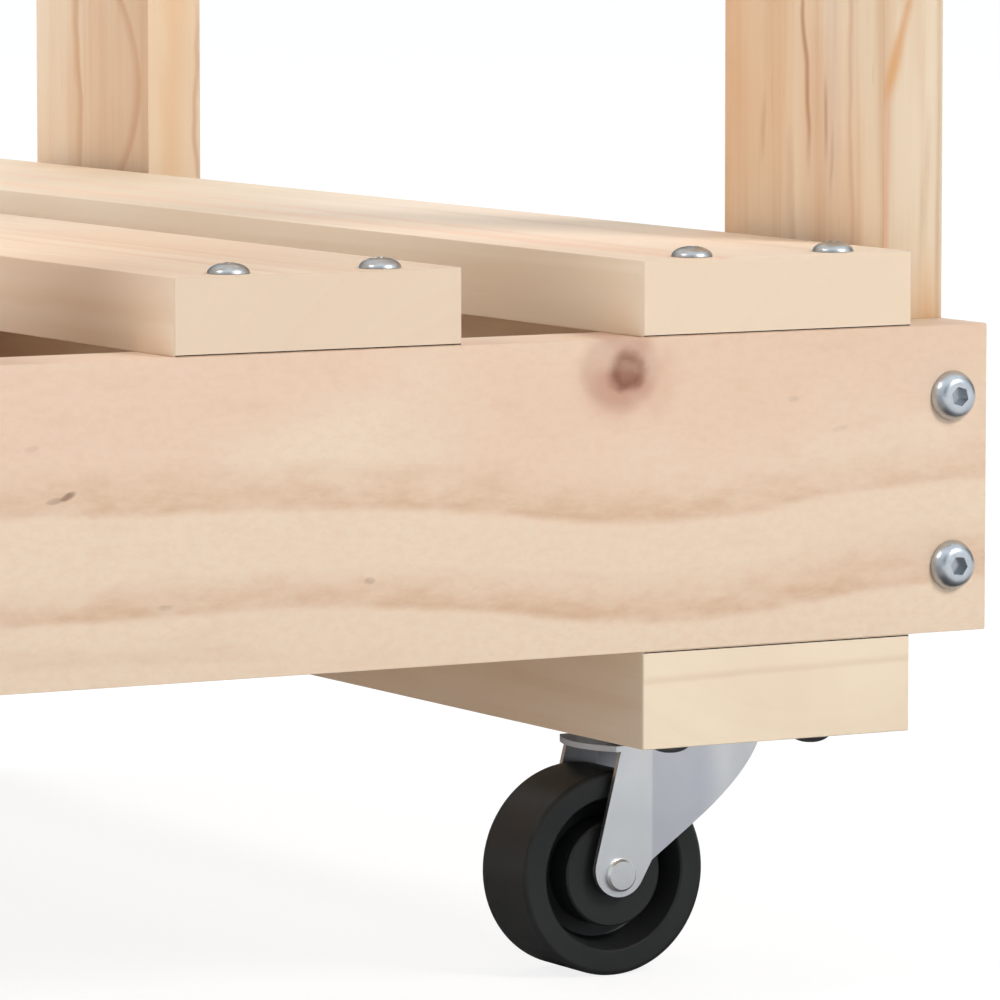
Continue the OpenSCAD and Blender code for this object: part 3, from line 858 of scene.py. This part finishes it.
def button_outline(land: float = 0.5, lean: float = 0.45, brim: float = 0.13,
                   steps: int = 9) -> list[TurnedPoint]:
    """Outline of a bolt with a button head and a flat land, from its end to the head's top."""
    points = shaft(0.8, 0.96, 0.03) + [TurnedPoint(head=1.0, rise=brim)]
    for step in range(1, steps + 1):
        turn = lean + step / steps * (math.pi / 2 - lean)
        out = math.cos(turn) / math.cos(lean)
        up = (math.sin(turn) - math.sin(lean)) / (1 - math.sin(lean))
        points.append(TurnedPoint(head=land + (1 - land) * out, rise=brim + (1 - brim) * up))
    return points + [TurnedPoint(head=land - 0.05, rise=1.0), TurnedPoint(rise=1.0)]


def fastener_tree(name: str, outline: Sequence[TurnedPoint], drive: Drive) -> Tree:
    """Geometry tree that turns one fastener from its sizes and sets it at every point.

    Args:
        name: the tree's name.
        outline: the fastener's outline in shares of its sizes.
        drive: the recess in its head.

    Returns:
        The tree. Its input points carry the attribute FACING.
    """
    net, size = new_group(name, GEOMETRY_TREE, {
        "Points": "Geometry", **dict.fromkeys(FASTENER_SIZES, 4 * MM), "Sides": 48, "Seed": 1,
        "Material": "Material"})
    sheet = net.shape("MeshGrid", Size_X=1.0, Size_Y=1.0, Vertices_X=size["Sides"] + 1.0,
                      Vertices_Y=len(outline))
    x, y, _ = net.split(net.shape("InputPosition"))
    turn, step = x * (2 * math.pi), y + 0.5

    def share(part: str) -> Value:
        """The share of one size along the outline."""
        node = net.node("ShaderNodeFloatCurve", inputs={"Value": step})
        curve = node.mapping.curves[0]
        last = len(outline) - 1
        for number, point in enumerate(outline):
            value = getattr(point, part)
            if number in (0, last):
                curve.points[0 if number == 0 else -1].location = (number / last, value)
            else:
                curve.points.new(number / last, value)
        for point in curve.points:
            point.handle_type = "VECTOR"
        node.mapping.update()
        return Value(net, node.outputs[0])

    radius = (share("head") * size["Head Diameter"] + share("shank") * size["Shank Diameter"]) / 2.0
    level = share("rise") * size["Head Height"] - share("drop") * size["Length"]
    spot = net.join(radius * net.math("COSINE", turn), radius * net.math("SINE", turn), level)
    turned = net.shape("SetPosition", Geometry=sheet, Position=spot)
    closed = net.shape("MergeByDistance", Geometry=turned, Distance=0.002 * MM)
    body = net.shape("MeshBoolean", {"operation": "DIFFERENCE", "solver": "EXACT"},
                     Mesh_1=closed, Mesh_2=drive_cutter(net, size, drive))
    x, y, z = net.split(net.shape("InputPosition"))
    # marks the faces of the drive recess, which the metals darken as painted shade
    inside = net.math("SQRT", x * x + y * y) < size["Drive Size"] * 0.56
    sunk = z < size["Head Height"] - size["Drive Depth"] * 0.2
    marked = net.shape("StoreNamedAttribute", {"data_type": "FLOAT", "domain": "FACE"},
                       Geometry=body, Name=RECESS, Value=inside * (sunk * (z > 0.0)))
    smooth = net.shape("SetShadeSmooth", {"domain": "FACE"}, Geometry=marked, Shade_Smooth=True)
    corner = net.out("GeometryNodeInputMeshEdgeAngle", output="Unsigned Angle")
    crisp = net.shape("SetShadeSmooth", {"domain": "EDGE"}, Geometry=smooth,
                      Selection=corner > math.radians(32), Shade_Smooth=False)
    facing = net.shape("InputNamedAttribute", {"data_type": "FLOAT_VECTOR"}, Name=FACING)
    aimed = net.out("FunctionNodeAlignRotationToVector", {"axis": "Z"}, {"Vector": facing})
    spin = net.out("FunctionNodeRandomValue", {"data_type": "FLOAT"},
                   {2: 0.0, 3: 2 * math.pi, "Seed": size["Seed"]}, 1)
    twist = net.out("FunctionNodeAxisAngleToRotation", inputs={"Axis": UP, "Angle": spin})
    turned_in = net.out("FunctionNodeRotateRotation", {"rotation_space": "LOCAL"},
                        {"Rotation": aimed, "Rotate By": twist})
    placed = net.shape("InstanceOnPoints", Points=size["Points"], Instance=crisp, Rotation=turned_in)
    real = net.shape("RealizeInstances", Geometry=placed)
    finished = net.shape("SetMaterial", Geometry=real, Material=size["Material"])
    return net.close("Geometry", {"Geometry": finished})


def drive_cutter(net: Wiring, size: dict[str, Value], drive: Drive, above: float = 1 * MM) -> Value:
    """Makes the shape that is cut out of a fastener's head.

    Args:
        net: the tree's wiring.
        size: the tree's own inputs.
        drive: cross recess or hexagon socket.
        above: how far the shape stands over the head.

    Returns:
        The cutter's geometry.
    """
    depth = size["Drive Depth"] + above
    floor = size["Head Height"] - size["Drive Depth"]
    if drive is Drive.HEXAGON:
        radius = size["Drive Size"] / math.sqrt(3)
        prism = net.shape("MeshCylinder", Vertices=6, Radius=radius, Depth=depth)
        middle = floor + depth / 2.0
        return net.shape("Transform", Geometry=prism, Translation=net.join(0.0, 0.0, middle))
    joined = net.node("GeometryNodeMeshBoolean", {"operation": "UNION", "solver": "EXACT"})
    for quarter in (0.0, math.pi / 2):
        wedge = net.shape("MeshCone", Vertices=4, Radius_Top=size["Drive Size"] * 0.78,
                          Radius_Bottom=size["Drive Size"] * 0.2, Depth=depth)
        square = net.shape("Transform", Geometry=wedge, Rotation=(0.0, 0.0, math.pi / 4))
        thin = net.shape("Transform", Geometry=square, Scale=(1.0, 0.26, 1.0))
        wing = net.shape("Transform", Geometry=thin, Rotation=(0.0, 0.0, quarter),
                         Translation=net.join(0.0, 0.0, floor))
        net.feed(joined.inputs["Mesh 2"], wing)
    return Value(net, joined.outputs[0])


# ---------------------------------------------------------------------- pieces


def add_piece(name: str, mesh: Mesh, nodes: Iterable[str]) -> bpy.types.Object:
    """Adds a finished mesh that stands for CAD nodes of the frame.

    Args:
        name: the piece's name.
        mesh: its mesh, in the cart's frame.
        nodes: the CAD nodes that it replaces.

    Returns:
        The new object.
    """
    piece = add_object(name, mesh)
    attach(piece, FRAME_BODY)
    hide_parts(*nodes)
    log.info("piece %s: %d faces", name, len(mesh.polygons))
    return piece


@dataclass(frozen=True)
class Cut:
    """Where a board was sawn out of its log, seen from the board's middle.

    The pith lies that many millimetres across the board's width and through its thickness, and
    leans by the run-out along the board. Start, in metres, tells the boards' patterns apart.
    """

    across: float
    depth: float
    run_out: float
    start: float


@dataclass
class Board:
    """One planed board that takes its place from its CAD node."""

    node: str
    pine: str
    slot: Slot
    cut: Cut
    arris: float = 0.3 * MM

    def build(self, tree: Tree, material: Material) -> bpy.types.Object:
        """Builds the board in the space of its node.

        Args:
            tree: the geometry tree of a planed board.
            material: the board's pine.

        Returns:
            The board.
        """
        low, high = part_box(self.node)
        sides = high - low
        length, width, thickness = sorted(range(3), key=lambda axis: -sides[axis])
        mesh = run_tree(self.node, tree, {
            "Length": sides[length], "Width": sides[width], "Thickness": sides[thickness],
            "Arris": self.arris, "Pith Across": self.cut.across * MM,
            "Pith Depth": self.cut.depth * MM, "Run Out": self.cut.run_out,
            "Start": self.cut.start, "Material": material})
        turn = Matrix.Identity(4)
        for column, axis in enumerate((length, width, thickness)):
            for row in range(3):
                turn[row][column] = 1.0 if row == axis else 0.0
        mirrored = turn.to_3x3().determinant() < 0
        mesh.transform(Matrix.Translation((low + high) / 2) @ turn)
        if mirrored:
            mesh.flip_normals()
        return add_piece(f"{self.node}_pine", mesh, [self.node])


BROWN = shade(180, 132, 94)
NEAR_POST_VEINS = (
    Vein(Y, Z, -150, 200, -42, 0.55, shade(216, 172, 128)),
    Vein(Y, Z, -188.8, 195, 1.7, 0.7, BROWN, slope=0.06, start=187, stop=400, blur=9, sharp=0.8),
    Vein(Y, Z, -196.6, 190, 1.4, 0.8, BROWN, slope=0.05, start=188, stop=202, blur=5, sharp=0.9),
    Vein(Y, Z, -199.4, 190, 1.2, 0.5, BROWN, start=180, stop=192, blur=5, sharp=0.9),
    Vein(Y, Z, -181.6, 186, 3, 0.25, BROWN, slope=0.08, start=150, stop=190, blur=8, sharp=0.8),
    Vein(Y, Z, -169.4, 190, 2.4, 0.35, BROWN, slope=-0.05, start=186, stop=198, blur=5, sharp=0.8),
    Vein(Y, Z, -190, 200, -26, 0.25, shade(208, 150, 108), start=100, stop=215, blur=20, sharp=0.3),
    Vein(Y, Z, -200, 210, 9, 0.35, shade(222, 204, 190), slope=0.02, start=180, stop=600, sharp=0.5),
    Vein(Y, Z, -208, 180, 2, 0.3, shade(204, 152, 130), slope=0.02, start=150, stop=230, sharp=0.7),
    Vein(Y, Z, -226, 180, 4, 0.3, shade(216, 170, 146), start=100, stop=600, sharp=0.6),
    Vein(X, Z, 158.3, 209, 2.2, 0.8, shade(220, 166, 116), slope=0.28, start=200, stop=600, blur=4,
         sharp=0.8, sway=1),
    Vein(X, Z, 157.4, 205, 3.6, 0.85, shade(224, 172, 118), slope=0.2, start=203, stop=214, blur=5,
         sharp=0.7, sway=1),
    Vein(X, Z, 156.2, 190, 1.4, 0.5, shade(230, 176, 148), start=166, stop=203.5, blur=6, sharp=0.8,
         sway=1),
    Vein(X, Z, 170.3, 200, 1.2, 0.45, shade(196, 162, 120), slope=0.004, start=50, stop=600,
         sharp=0.9, sway=1),
    Vein(X, Z, 166.4, 180, 1.8, 0.35, shade(208, 174, 136), start=165, stop=195, sharp=0.9),
    Vein(X, Z, 167.5, 150, 4.5, 0.5, shade(230, 184, 128), start=120, stop=160, sharp=0.9),
)
FAR_POST_VEINS_AND_PAINTED_LIGHT = (
    # painted shade: a wide darker band over the far post's side faces
    Vein(Y, Z, 150, 200, 90, 0.35, shade(196, 166, 138), sway=0, sharp=0.5),
    # painted light: a wide pale band over the far post's front and back faces
    Vein(X, Z, 130, 200, 90, 0.95, shade(255, 232, 200), sway=0, sharp=0.5),
    Vein(Y, Z, 194.6, 190, 4.5, 0.6, shade(200, 152, 110), slope=0.03, start=100, stop=600, sharp=0.5),
    Vein(Y, Z, 157.6, 190, 5, 0.55, shade(200, 150, 116), bend=20.0, start=130, stop=222, blur=4,
         sharp=0.5, sway=1),
    Vein(X, Z, 163, 200, 7, 0.45, shade(242, 198, 150), slope=0.04, sharp=0.7),
    Vein(X, Z, 170, 200, 1.4, 0.5, shade(206, 162, 122), stop=210, sharp=0.9),
)


@dataclass
class Timber:
    """All boards of the cart, with the way each was sawn."""

    slats: tuple[str, ...] = SLATS
    bearers: tuple[str, ...] = BEARERS
    near_post_veins: tuple[Vein, ...] = NEAR_POST_VEINS
    far_post_veins: tuple[Vein, ...] = FAR_POST_VEINS_AND_PAINTED_LIGHT

    def slat_veins(self) -> tuple[Vein, ...]:
        """Grain of the near slat, placed from its edge, with painted light: a wide pale band over the front
        half of its top and a wide darker band from about its middle backwards.
        """
        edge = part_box("slat_right")[0].x / MM
        return (
            # painted shade: a wide darker band over the back of the slat's top
            Vein(X, Y, edge + 34, 0, 60, 0.4, shade(212, 190, 160), start=-20, blur=60, sway=10),
            # painted light: a wide pale band over the front half of the slat's top
            Vein(X, Y, edge + 35, 0, 80, 0.5, shade(255, 238, 220), sharp=1.0, stop=0, blur=60),
            Vein(X, Y, edge + 52, 0, 4, 0.2, shade(204, 182, 154), sharp=0.8, stop=-20, blur=50, sway=4),
            Vein(X, Y, edge + 14, 0, 9, 0.5, shade(242, 204, 174), sharp=0.8, sway=4),
            Vein(X, Y, edge + 26, -100, 4, 0.4, shade(240, 198, 168), slope=0.04, sharp=0.8, sway=4),
        )

    def finishes(self) -> tuple[PineFinish, ...]:
        """Every pine: front board, edge boards, deck, near slat, bearers, three of posts, rails."""
        bearer_level, deck_level = (corner.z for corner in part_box("front_edge_board"))
        bearer_vein = Vein(Z, X, bearer_level / MM - 6, 120, 1.6, 0.22, shade(206, 170, 134), slope=0.02,
                           sharp=0.7, sway=0.8)
        return (
            KnottyPineFinish("pine_front_board", pale=shade(239, 218, 193), warm=shade(236, 207, 182),
                             dark=shade(202, 154, 116)),
            PineFinish("pine_edge_board", ring_spacing=18 * MM, ring_strength=0.5, wander=9 * MM),
            PineFinish("pine_deck_board", pale=shade(244, 226, 202), warm=shade(240, 216, 190),
                       dark=shade(222, 178, 142), cream=shade(232, 211, 185), ring_spacing=8 * MM,
                       ring_sharpness=1.3, fibre_strength=0.06, streak_strength=0.25,
                       streak=shade(228, 194, 162), joint_level=deck_level),
            PineFinish("pine_near_slat", pale=shade(241, 222, 196), warm=shade(237, 214, 186),
                       dark=shade(222, 188, 154), cream=shade(239, 219, 193), ring_spacing=9 * MM,
                       ring_strength=0.4, ring_sharpness=1.3, fibre_strength=0.06,
                       streak_strength=0.2, streak=shade(226, 196, 164), veins=self.slat_veins(),
                       joint_level=deck_level),
            PineFinish("pine_bearer_board", pale=shade(220, 200, 176), warm=shade(214, 188, 160),
                       dark=shade(200, 160, 124), cream=shade(252, 236, 210), ring_spacing=9 * MM,
                       ring_strength=0.3, streak=shade(206, 176, 142), streak_strength=0.2,
                       veins=(bearer_vein,), joint_level=bearer_level),
            PineFinish("pine_near_post", pale=shade(240, 221, 194), warm=shade(235, 209, 179),
                       dark=shade(188, 148, 108), ring_spacing=5 * MM, ring_strength=0.4,
                       ring_sharpness=3.0, wander=7 * MM, fading=1.0, streak=shade(222, 184, 146),
                       streak_strength=0.6, veins=self.near_post_veins),
            PineFinish("pine_far_post", pale=shade(236, 216, 190), warm=shade(232, 204, 174),
                       dark=shade(200, 154, 116), ring_spacing=16 * MM, ring_strength=0.25,
                       wander=8 * MM, fading=1.0, veins=self.far_post_veins),
            PineFinish("pine_post_board", pale=shade(238, 216, 188), warm=shade(234, 202, 168),
                       dark=shade(190, 142, 102), ring_strength=0.5, wander=6 * MM, fading=0.8),
            PineFinish("pine_rail_board", pale=shade(240, 216, 188), warm=shade(238, 202, 172),
                       ring_spacing=9 * MM, wander=7 * MM),
        )

    def boards(self) -> list[Board]:
        """Every board."""
        front, rear = EDGES["base"]
        top_front, top_rear = EDGES["top"]
        boards = [
            Board(front, "pine_front_board", Slot.BOARD, Cut(0, -90, 0.0, 1.0)),
            Board(rear, "pine_edge_board", Slot.BOARD, Cut(6, -70, 0.02, 3.0)),
            Board(top_front, "pine_edge_board", Slot.BOARD, Cut(-4, -55, 0.01, 5.0)),
            Board(top_rear, "pine_edge_board", Slot.BOARD, Cut(10, -80, -0.02, 7.0)),
            Board("post_front_right", "pine_near_post", Slot.POST, Cut(85, 14, 0.01, 9.0)),
            Board("post_rear_right", "pine_far_post", Slot.POST, Cut(-60, -16, 0.01, 11.0)),
            Board("post_front_left", "pine_post_board", Slot.POST, Cut(70, -10, -0.01, 13.0)),
            Board("post_rear_left", "pine_post_board", Slot.POST, Cut(-60, 20, 0.01, 15.0)),
        ]
        for number, node in enumerate(self.slats):
            cut = Cut(52 - 9 * number, -45, 0.012 - 0.01 * number, 17.0 + 2 * number)
            pine = "pine_near_slat" if node == "slat_right" else "pine_deck_board"
            boards.append(Board(node, pine, Slot.DECK, cut))
        for number, node in enumerate(self.bearers):
            boards.append(Board(node, "pine_bearer_board", Slot.DECK, Cut(12, 70, 0.01, 23.0 + 2 * number)))
        for row, side in enumerate(SIDES):
            for number, node in enumerate(side_boards(side)):
                cut = Cut(number * 7 - 15, 60 + 9 * number, 0.02 - 0.008 * number,
                          27.0 + 2 * number + 20 * row)
                boards.append(Board(node, "pine_rail_board", Slot.RAIL, cut))
        return boards

    def build(self, effects: EffectShelf) -> None:
        """Builds and dresses every board."""
        tree = board_tree()
        pines = {finish.name: finish.material(effects) for finish in self.finishes()}
        for board in self.boards():
            board.build(tree, pines[board.pine])


@dataclass
class FastenerSet:
    """One group of equal fasteners that takes its places from the sizes of the boards.

    Its sizes stand in the order of FASTENER_SIZES.
    """

    name: str
    node: str
    drive: Drive
    sizes: tuple[float, ...]
    spots: Spots
    seed: int

    def build(self, tree: Tree, material: Material) -> bpy.types.Object:
        """Sets the fasteners.

        Args:
            tree: the geometry tree of their kind.
            material: their metal.

        Returns:
            The piece.
        """
        points = bpy.data.meshes.new(f"{self.name}_points")
        points.from_pydata([spot for spot, _ in self.spots], [], [])
        facing = points.attributes.new(FACING, "FLOAT_VECTOR", "POINT")
        for number, (_, way) in enumerate(self.spots):
            facing.data[number].vector = way
        inputs = dict(zip(FASTENER_SIZES, self.sizes)) | {"Seed": self.seed, "Material": material}
        mesh = run_tree(self.name, tree, inputs, points)
        return add_piece(self.name, mesh, [self.node])


@dataclass
class Fasteners:
    """The cart's screws and bolts."""

    screw_head: float = 9.3 * MM
    screw_rise: float = 2.4 * MM
    screw_shank: float = 4.5 * MM
    screw_pitch: float = 37 * MM
    slat_screw: float = 40 * MM
    bearer_screw: float = 45 * MM
    rail_screw: float = 28 * MM
    cross_width: float = 4.7 * MM
    cross_depth: float = 1.5 * MM
    end_inset: float = 7 * MM
    bearer_inset: float = 9.5 * MM
    bearer_shift: float = 4 * MM
    bolt_head: float = 11.4 * MM
    bolt_rise: float = 3.3 * MM
    bolt_shank: float = 6 * MM
    bolt_length: float = 30 * MM
    bolt_inset: float = 9.3 * MM
    bolt_drop: float = 0.5 * MM
    bolt_pitch: float = 38.6 * MM
    socket_width: float = 4 * MM
    socket_depth: float = 2 * MM

    def pair(self, middle: float) -> tuple[float, float]:
        """Places of the two screws on either side of a middle."""
        return middle - self.screw_pitch / 2, middle + self.screw_pitch / 2

    def end_spots(self, nodes: Iterable[str], inset: float, shift: float, way: float) -> Spots:
        """Screws at both ends of boards that lie flat.

        Args:
            nodes: the boards.
            inset: how far the screws are from a board's end.
            shift: how far they are moved towards the cart's middle.
            way: 1 where they are driven from above, and -1 from below.

        Returns:
            Their places, each with the way that its head faces.
        """
        spots = []
        for node in nodes:
            low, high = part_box(node)
            middle = (low.x + high.x) / 2
            face = high.z if way > 0 else low.z
            for x in self.pair(middle - math.copysign(shift, middle)):
                for y in (low.y + inset, high.y - inset):
                    spots.append(((x, y, face), (0.0, 0.0, way)))
        return spots

    def rail_spots(self, side: str) -> Spots:
        """Screws from inside through the boards of one side into its posts."""
        spots = []
        posts = [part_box(f"post_{end}_{side}") for end in ("front", "rear")]
        for node in side_boards(side):
            low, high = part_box(node)
            outward = math.copysign(1.0, low.x)
            inner = low.x if outward > 0 else high.x
            for post_low, post_high in posts:
                for z in self.pair((low.z + high.z) / 2):
                    spots.append(((inner, (post_low.y + post_high.y) / 2, z), (-outward, 0.0, 0.0)))
        return spots

    def bolt_spots(self, level: str) -> Spots:
        """Bolts through the edge boards of one level into the posts."""
        spots = []
        for node in EDGES[level]:
            low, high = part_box(node)
            outward = math.copysign(1.0, low.y)
            face = low.y if outward < 0 else high.y
            middle = (low.z + high.z) / 2 - self.bolt_drop
            for x in (low.x + self.bolt_inset, high.x - self.bolt_inset):
                for z in (middle - self.bolt_pitch / 2, middle + self.bolt_pitch / 2):
                    spots.append(((x, face, z), (0.0, outward, 0.0)))
        return spots

    def sets(self) -> list[FastenerSet]:
        """Every set of fasteners that Blender makes."""
        screws = [
            ("slat_screw_set", "slat_screws", self.slat_screw,
             self.end_spots(SLATS, self.end_inset, 0.0, 1.0), 3),
            ("bearer_screw_set", "bearer_screws", self.bearer_screw,
             self.end_spots(BEARERS, self.bearer_inset, self.bearer_shift, -1.0), 5),
        ]
        for seed, side in enumerate(SIDES, 7):
            screws.append((f"rail_screw_set_{side}", f"rail_screws_{side}", self.rail_screw,
                           self.rail_spots(side), seed))
        made = []
        for name, node, length, spots, seed in screws:
            sizes = (self.screw_head, self.screw_rise, self.screw_shank, length, self.cross_width,
                     self.cross_depth)
            made.append(FastenerSet(name, node, Drive.CROSS, sizes, spots, seed))
        sizes = (self.bolt_head, self.bolt_rise, self.bolt_shank, self.bolt_length, self.socket_width,
                 self.socket_depth)
        for seed, level in enumerate(EDGES, 11):
            made.append(FastenerSet(f"{level}_bolt_set", f"{level}_frame_bolts", Drive.HEXAGON, sizes,
                                    self.bolt_spots(level), seed))
        return made

    def build(self, metals: dict[Drive, Material], dull: Material) -> None:
        """Builds and dresses every set.

        Args:
            metals: the metal of each kind of fastener.
            dull: the darker zinc of the screws under the bearers, which paints the shade they sit in.
        """
        trees = {
            Drive.CROSS: fastener_tree("domed screws", domed_outline(), Drive.CROSS),
            Drive.HEXAGON: fastener_tree("button bolts", button_outline(), Drive.HEXAGON),
        }
        for fasteners in self.sets():
            # painted shade: the screws under the bearers take a darker copy of zinc
            metal = dull if fasteners.node == "bearer_screws" else metals[fasteners.drive]
            fasteners.build(trees[fasteners.drive], metal)


def dress_node(name: str, material: Material) -> None:
    """Gives a CAD node that stays another material."""
    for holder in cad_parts[name].material_slots:
        holder.material = material


@dataclass
class Casters:
    """The four swivel casters, whose solids stay as the CAD model has them."""

    corners: tuple[str, ...] = CORNERS

    def dress(self, zinc: Material, sheet: Material, plastic: Material) -> None:
        """Gives every piece of every caster its finish.

        Args:
            zinc: plates, balls, kingpins, axles, plate screws and insert nuts.
            sheet: the pressed forks.
            plastic: the wheels.
        """
        finishes = {"plate": zinc, "balls": zinc, "kingpin": zinc, "axle": zinc, "fork": sheet,
                    "wheel": plastic}
        for corner in self.corners:
            for part, material in finishes.items():
                dress_node(f"caster_{corner}_{part}", material)
            log.info("caster %s dressed", corner)
        for node in ("caster_plate_screws", "base_insert_nuts", "top_insert_nuts"):
            dress_node(node, zinc)
            log.info("%s dressed", node)


# ---------------------------------------------------------------------- studio


@dataclass
class Studio:
    """Floor, lights and camera."""

    camera_at: Point = (-0.72268, -1.60367, 0.26895)
    yaw: float = 29.38
    pitch: float = 5.598
    view_angle: float = 7.971
    floor_size: float = 60.0
    floor_glow: float = 0.84
    floor_pale: float = 0.84
    floor_dim: float = 0.22
    card_pale: float = 0.8
    near_grey: Colour = (0.42, 0.42, 0.43, 1.0)
    far_grey: Colour = (0.12, 0.12, 0.13, 1.0)
    back_light: float = 2.55
    left_light: float = 0.8
    dim_wall: float = 0.2
    front_card: float = 0.9
    left_card: float = 0.55
    ceiling: float = 1.1
    front_way: tuple[float, float] = (0.54, -0.84)
    back_tint: Point = (0.93, 1.0, 1.06)
    lamp_aim: Point = (0.1, -0.2, 0.15)
    key_energy: float = 105.0
    key_at: Point = (1.6, -3.4, 2.6)
    key_size: float = 1.4
    key_tint: Point = (1.0, 0.95, 0.93)
    fill_energy: float = 56.0
    fill_at: Point = (-2.75, 0.1, 2.8)
    fill_size: float = 1.6
    fill_tint: Point = (0.97, 1.0, 1.02)

    def aimed(self, place: Point, way: Vector) -> Matrix:
        """Where a camera or lamp stands that looks that way."""
        return Matrix.Translation(place) @ way.to_track_quat("-Z", "Y").to_matrix().to_4x4()

    def camera(self) -> None:
        """Sets the camera where the photograph was taken from."""
        data = bpy.data.cameras.new("photo_camera")
        data.sensor_fit = "HORIZONTAL"
        data.sensor_width = 36.0
        data.lens = data.sensor_width / 2 / math.tan(math.radians(self.view_angle) / 2)
        data.clip_end = 200.0
        camera = add_object("photo_camera", data)
        yaw, pitch = math.radians(self.yaw), math.radians(self.pitch)
        ahead = Vector((math.sin(yaw) * math.cos(pitch), math.cos(yaw) * math.cos(pitch), -math.sin(pitch)))
        camera.matrix_world = self.aimed(self.camera_at, ahead)
        bpy.context.scene.camera = camera

    def ahead(self, x: Value, y: Value) -> Value:
        """How far a place or a direction lies to the front, where the front card stands."""
        return x * self.front_way[0] + y * self.front_way[1]

    def floor(self) -> None:
        """Lays a pale floor that shows white but keeps the cart's shadow.

        Metal sees it grey, with a pale card in front of the cart and one at its right.
        """
        half = self.floor_size / 2
        mesh = bpy.data.meshes.new("floor")
        mesh.from_pydata([(-half, -half, 0), (half, -half, 0), (half, half, 0), (-half, half, 0)], [],
                         [(0, 1, 2, 3)])
        floor = add_object("floor", mesh)
        material = bpy.data.materials.new("studio_floor")
        net = cleared(material)
        path = net.outputs("ShaderNodeLightPath")
        x, y, _ = net.split(net.out("ShaderNodeTexCoord", output="Object"))
        card = net.math("MAXIMUM", net.step(self.ahead(x, y), 0.3, 0.5), net.step(x, 0.26, 0.42))
        tone = net.blend(net.step(x, 0.02, 0.14), self.near_grey, self.far_grey)
        mirrored = net.blend(card, tone, grey(self.card_pale))
        pale = net.blend(path["Is Glossy Ray"], grey(self.floor_pale), mirrored)
        matt = net.out("ShaderNodeBsdfDiffuse", inputs={"Color": pale})
        dim = net.out("ShaderNodeBsdfDiffuse", inputs={"Color": grey(self.floor_dim)})
        glow = net.out("ShaderNodeEmission", inputs={"Color": grey(1.0), "Strength": self.floor_glow})
        bright = net.out("ShaderNodeAddShader", inputs={0: dim, 1: glow})
        mixed = net.out("ShaderNodeMixShader", inputs={0: path["Is Camera Ray"], 1: matt, 2: bright})
        net.node("ShaderNodeOutputMaterial", inputs={"Surface": mixed})
        mesh.materials.append(material)

    def sky(self) -> None:
        """Lights the world softly from behind and from the left, and shows it white.

        Metal mirrors a plain studio: a grey wall with pale cards in front and at the left, under
        a white ceiling.
        """
        world = bpy.data.worlds.new("studio")
        net = cleared(world)
        x, y, z = net.split(net.out("ShaderNodeTexCoord", output="Generated"))
        left = x * -1.0
        level = net.math("MAXIMUM", y, 0.0) * self.back_light
        level = level + net.math("MAXIMUM", left, 0.0) * self.left_light
        front = net.step(self.ahead(x, y), 0.35, 0.98) * self.front_card
        side = net.step(left, 0.2, 0.9) * self.left_card
        wall = net.math("ADD", self.dim_wall, net.math("MAXIMUM", front, side))
        mirrored = net.between(net.step(z, 0.3, 0.85), wall, self.ceiling)
        path = net.outputs("ShaderNodeLightPath")
        shown = net.between(path["Is Glossy Ray"], level, mirrored)
        strength = net.math("MAXIMUM", shown, path["Is Camera Ray"])
        tint = net.blend(path["Is Camera Ray"], (*self.back_tint, 1.0), grey(1.0))
        background = net.out("ShaderNodeBackground", inputs={"Color": tint, "Strength": strength})
        net.node("ShaderNodeOutputWorld", inputs={"Surface": background})
        bpy.context.scene.world = world

    def lamp(self, name: str, place: Point, size: float, energy: float, tint: Point) -> None:
        """Hangs one soft round lamp that shines at the deck's front corner.

        Args:
            name: the lamp's name.
            place: where it hangs.
            size: its diameter.
            energy: its power in watts.
            tint: its colour.
        """
        data = bpy.data.lights.new(name, "AREA")
        data.shape = "DISK"
        data.size = size
        data.energy = energy
        data.color = tint
        add_object(name, data).matrix_world = self.aimed(place, Vector(self.lamp_aim) - Vector(place))

    def build(self) -> None:
        """Sets up the whole studio."""
        bpy.context.scene.view_settings.view_transform = "Standard"
        self.camera()
        self.floor()
        self.sky()
        self.lamp("key_lamp", self.key_at, self.key_size, self.key_energy, self.key_tint)
        self.lamp("fill_lamp", self.fill_at, self.fill_size, self.fill_energy, self.fill_tint)
        log.info("studio ready")


def main() -> None:
    """Builds the studio, then the cart's pieces."""
    logging.basicConfig(level=logging.INFO, format="%(name)s: %(message)s")
    Studio().build()
    effects = EffectShelf()
    zinc = MetalFinish("zinc_plating").material(effects)
    # Each head's finish darkens its drive recesses as painted shade.
    domed = MetalFinish("domed_screw_zinc", shade(190, 192, 191), shade(180, 183, 184), 0.3, 0.06,
                        dent=0.004 * MM, grime=0.3).material(effects)
    button = MetalFinish("button_bolt_zinc", shade(193, 197, 201), shade(181, 186, 192), 0.26, 0.06,
                         dent=0.006 * MM, grime=0.32).material(effects)
    # painted shade: a darker copy of zinc for the screws in the shade under the bearers
    dull = MetalFinish("under_bearer_shade_zinc", shade(152, 154, 156), shade(138, 140, 142), 0.4,
                       grime=0.2).material(effects)
    low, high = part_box("caster_fr_kingpin")
    sheet = PressedSheetFinish("pressed_zinc_sheet", shade(229, 230, 230), shade(225, 227, 228), 0.38,
                               0.06, 8 * MM, swivel_x=(low.x + high.x) / 2).material(effects)
    plastic = PlasticFinish("moulded_black_plastic").material(effects)
    Timber().build(effects)
    Fasteners().build({Drive.CROSS: domed, Drive.HEXAGON: button}, dull)
    Casters().dress(zinc, sheet, plastic)


if __name__ == "__main__":
    main()
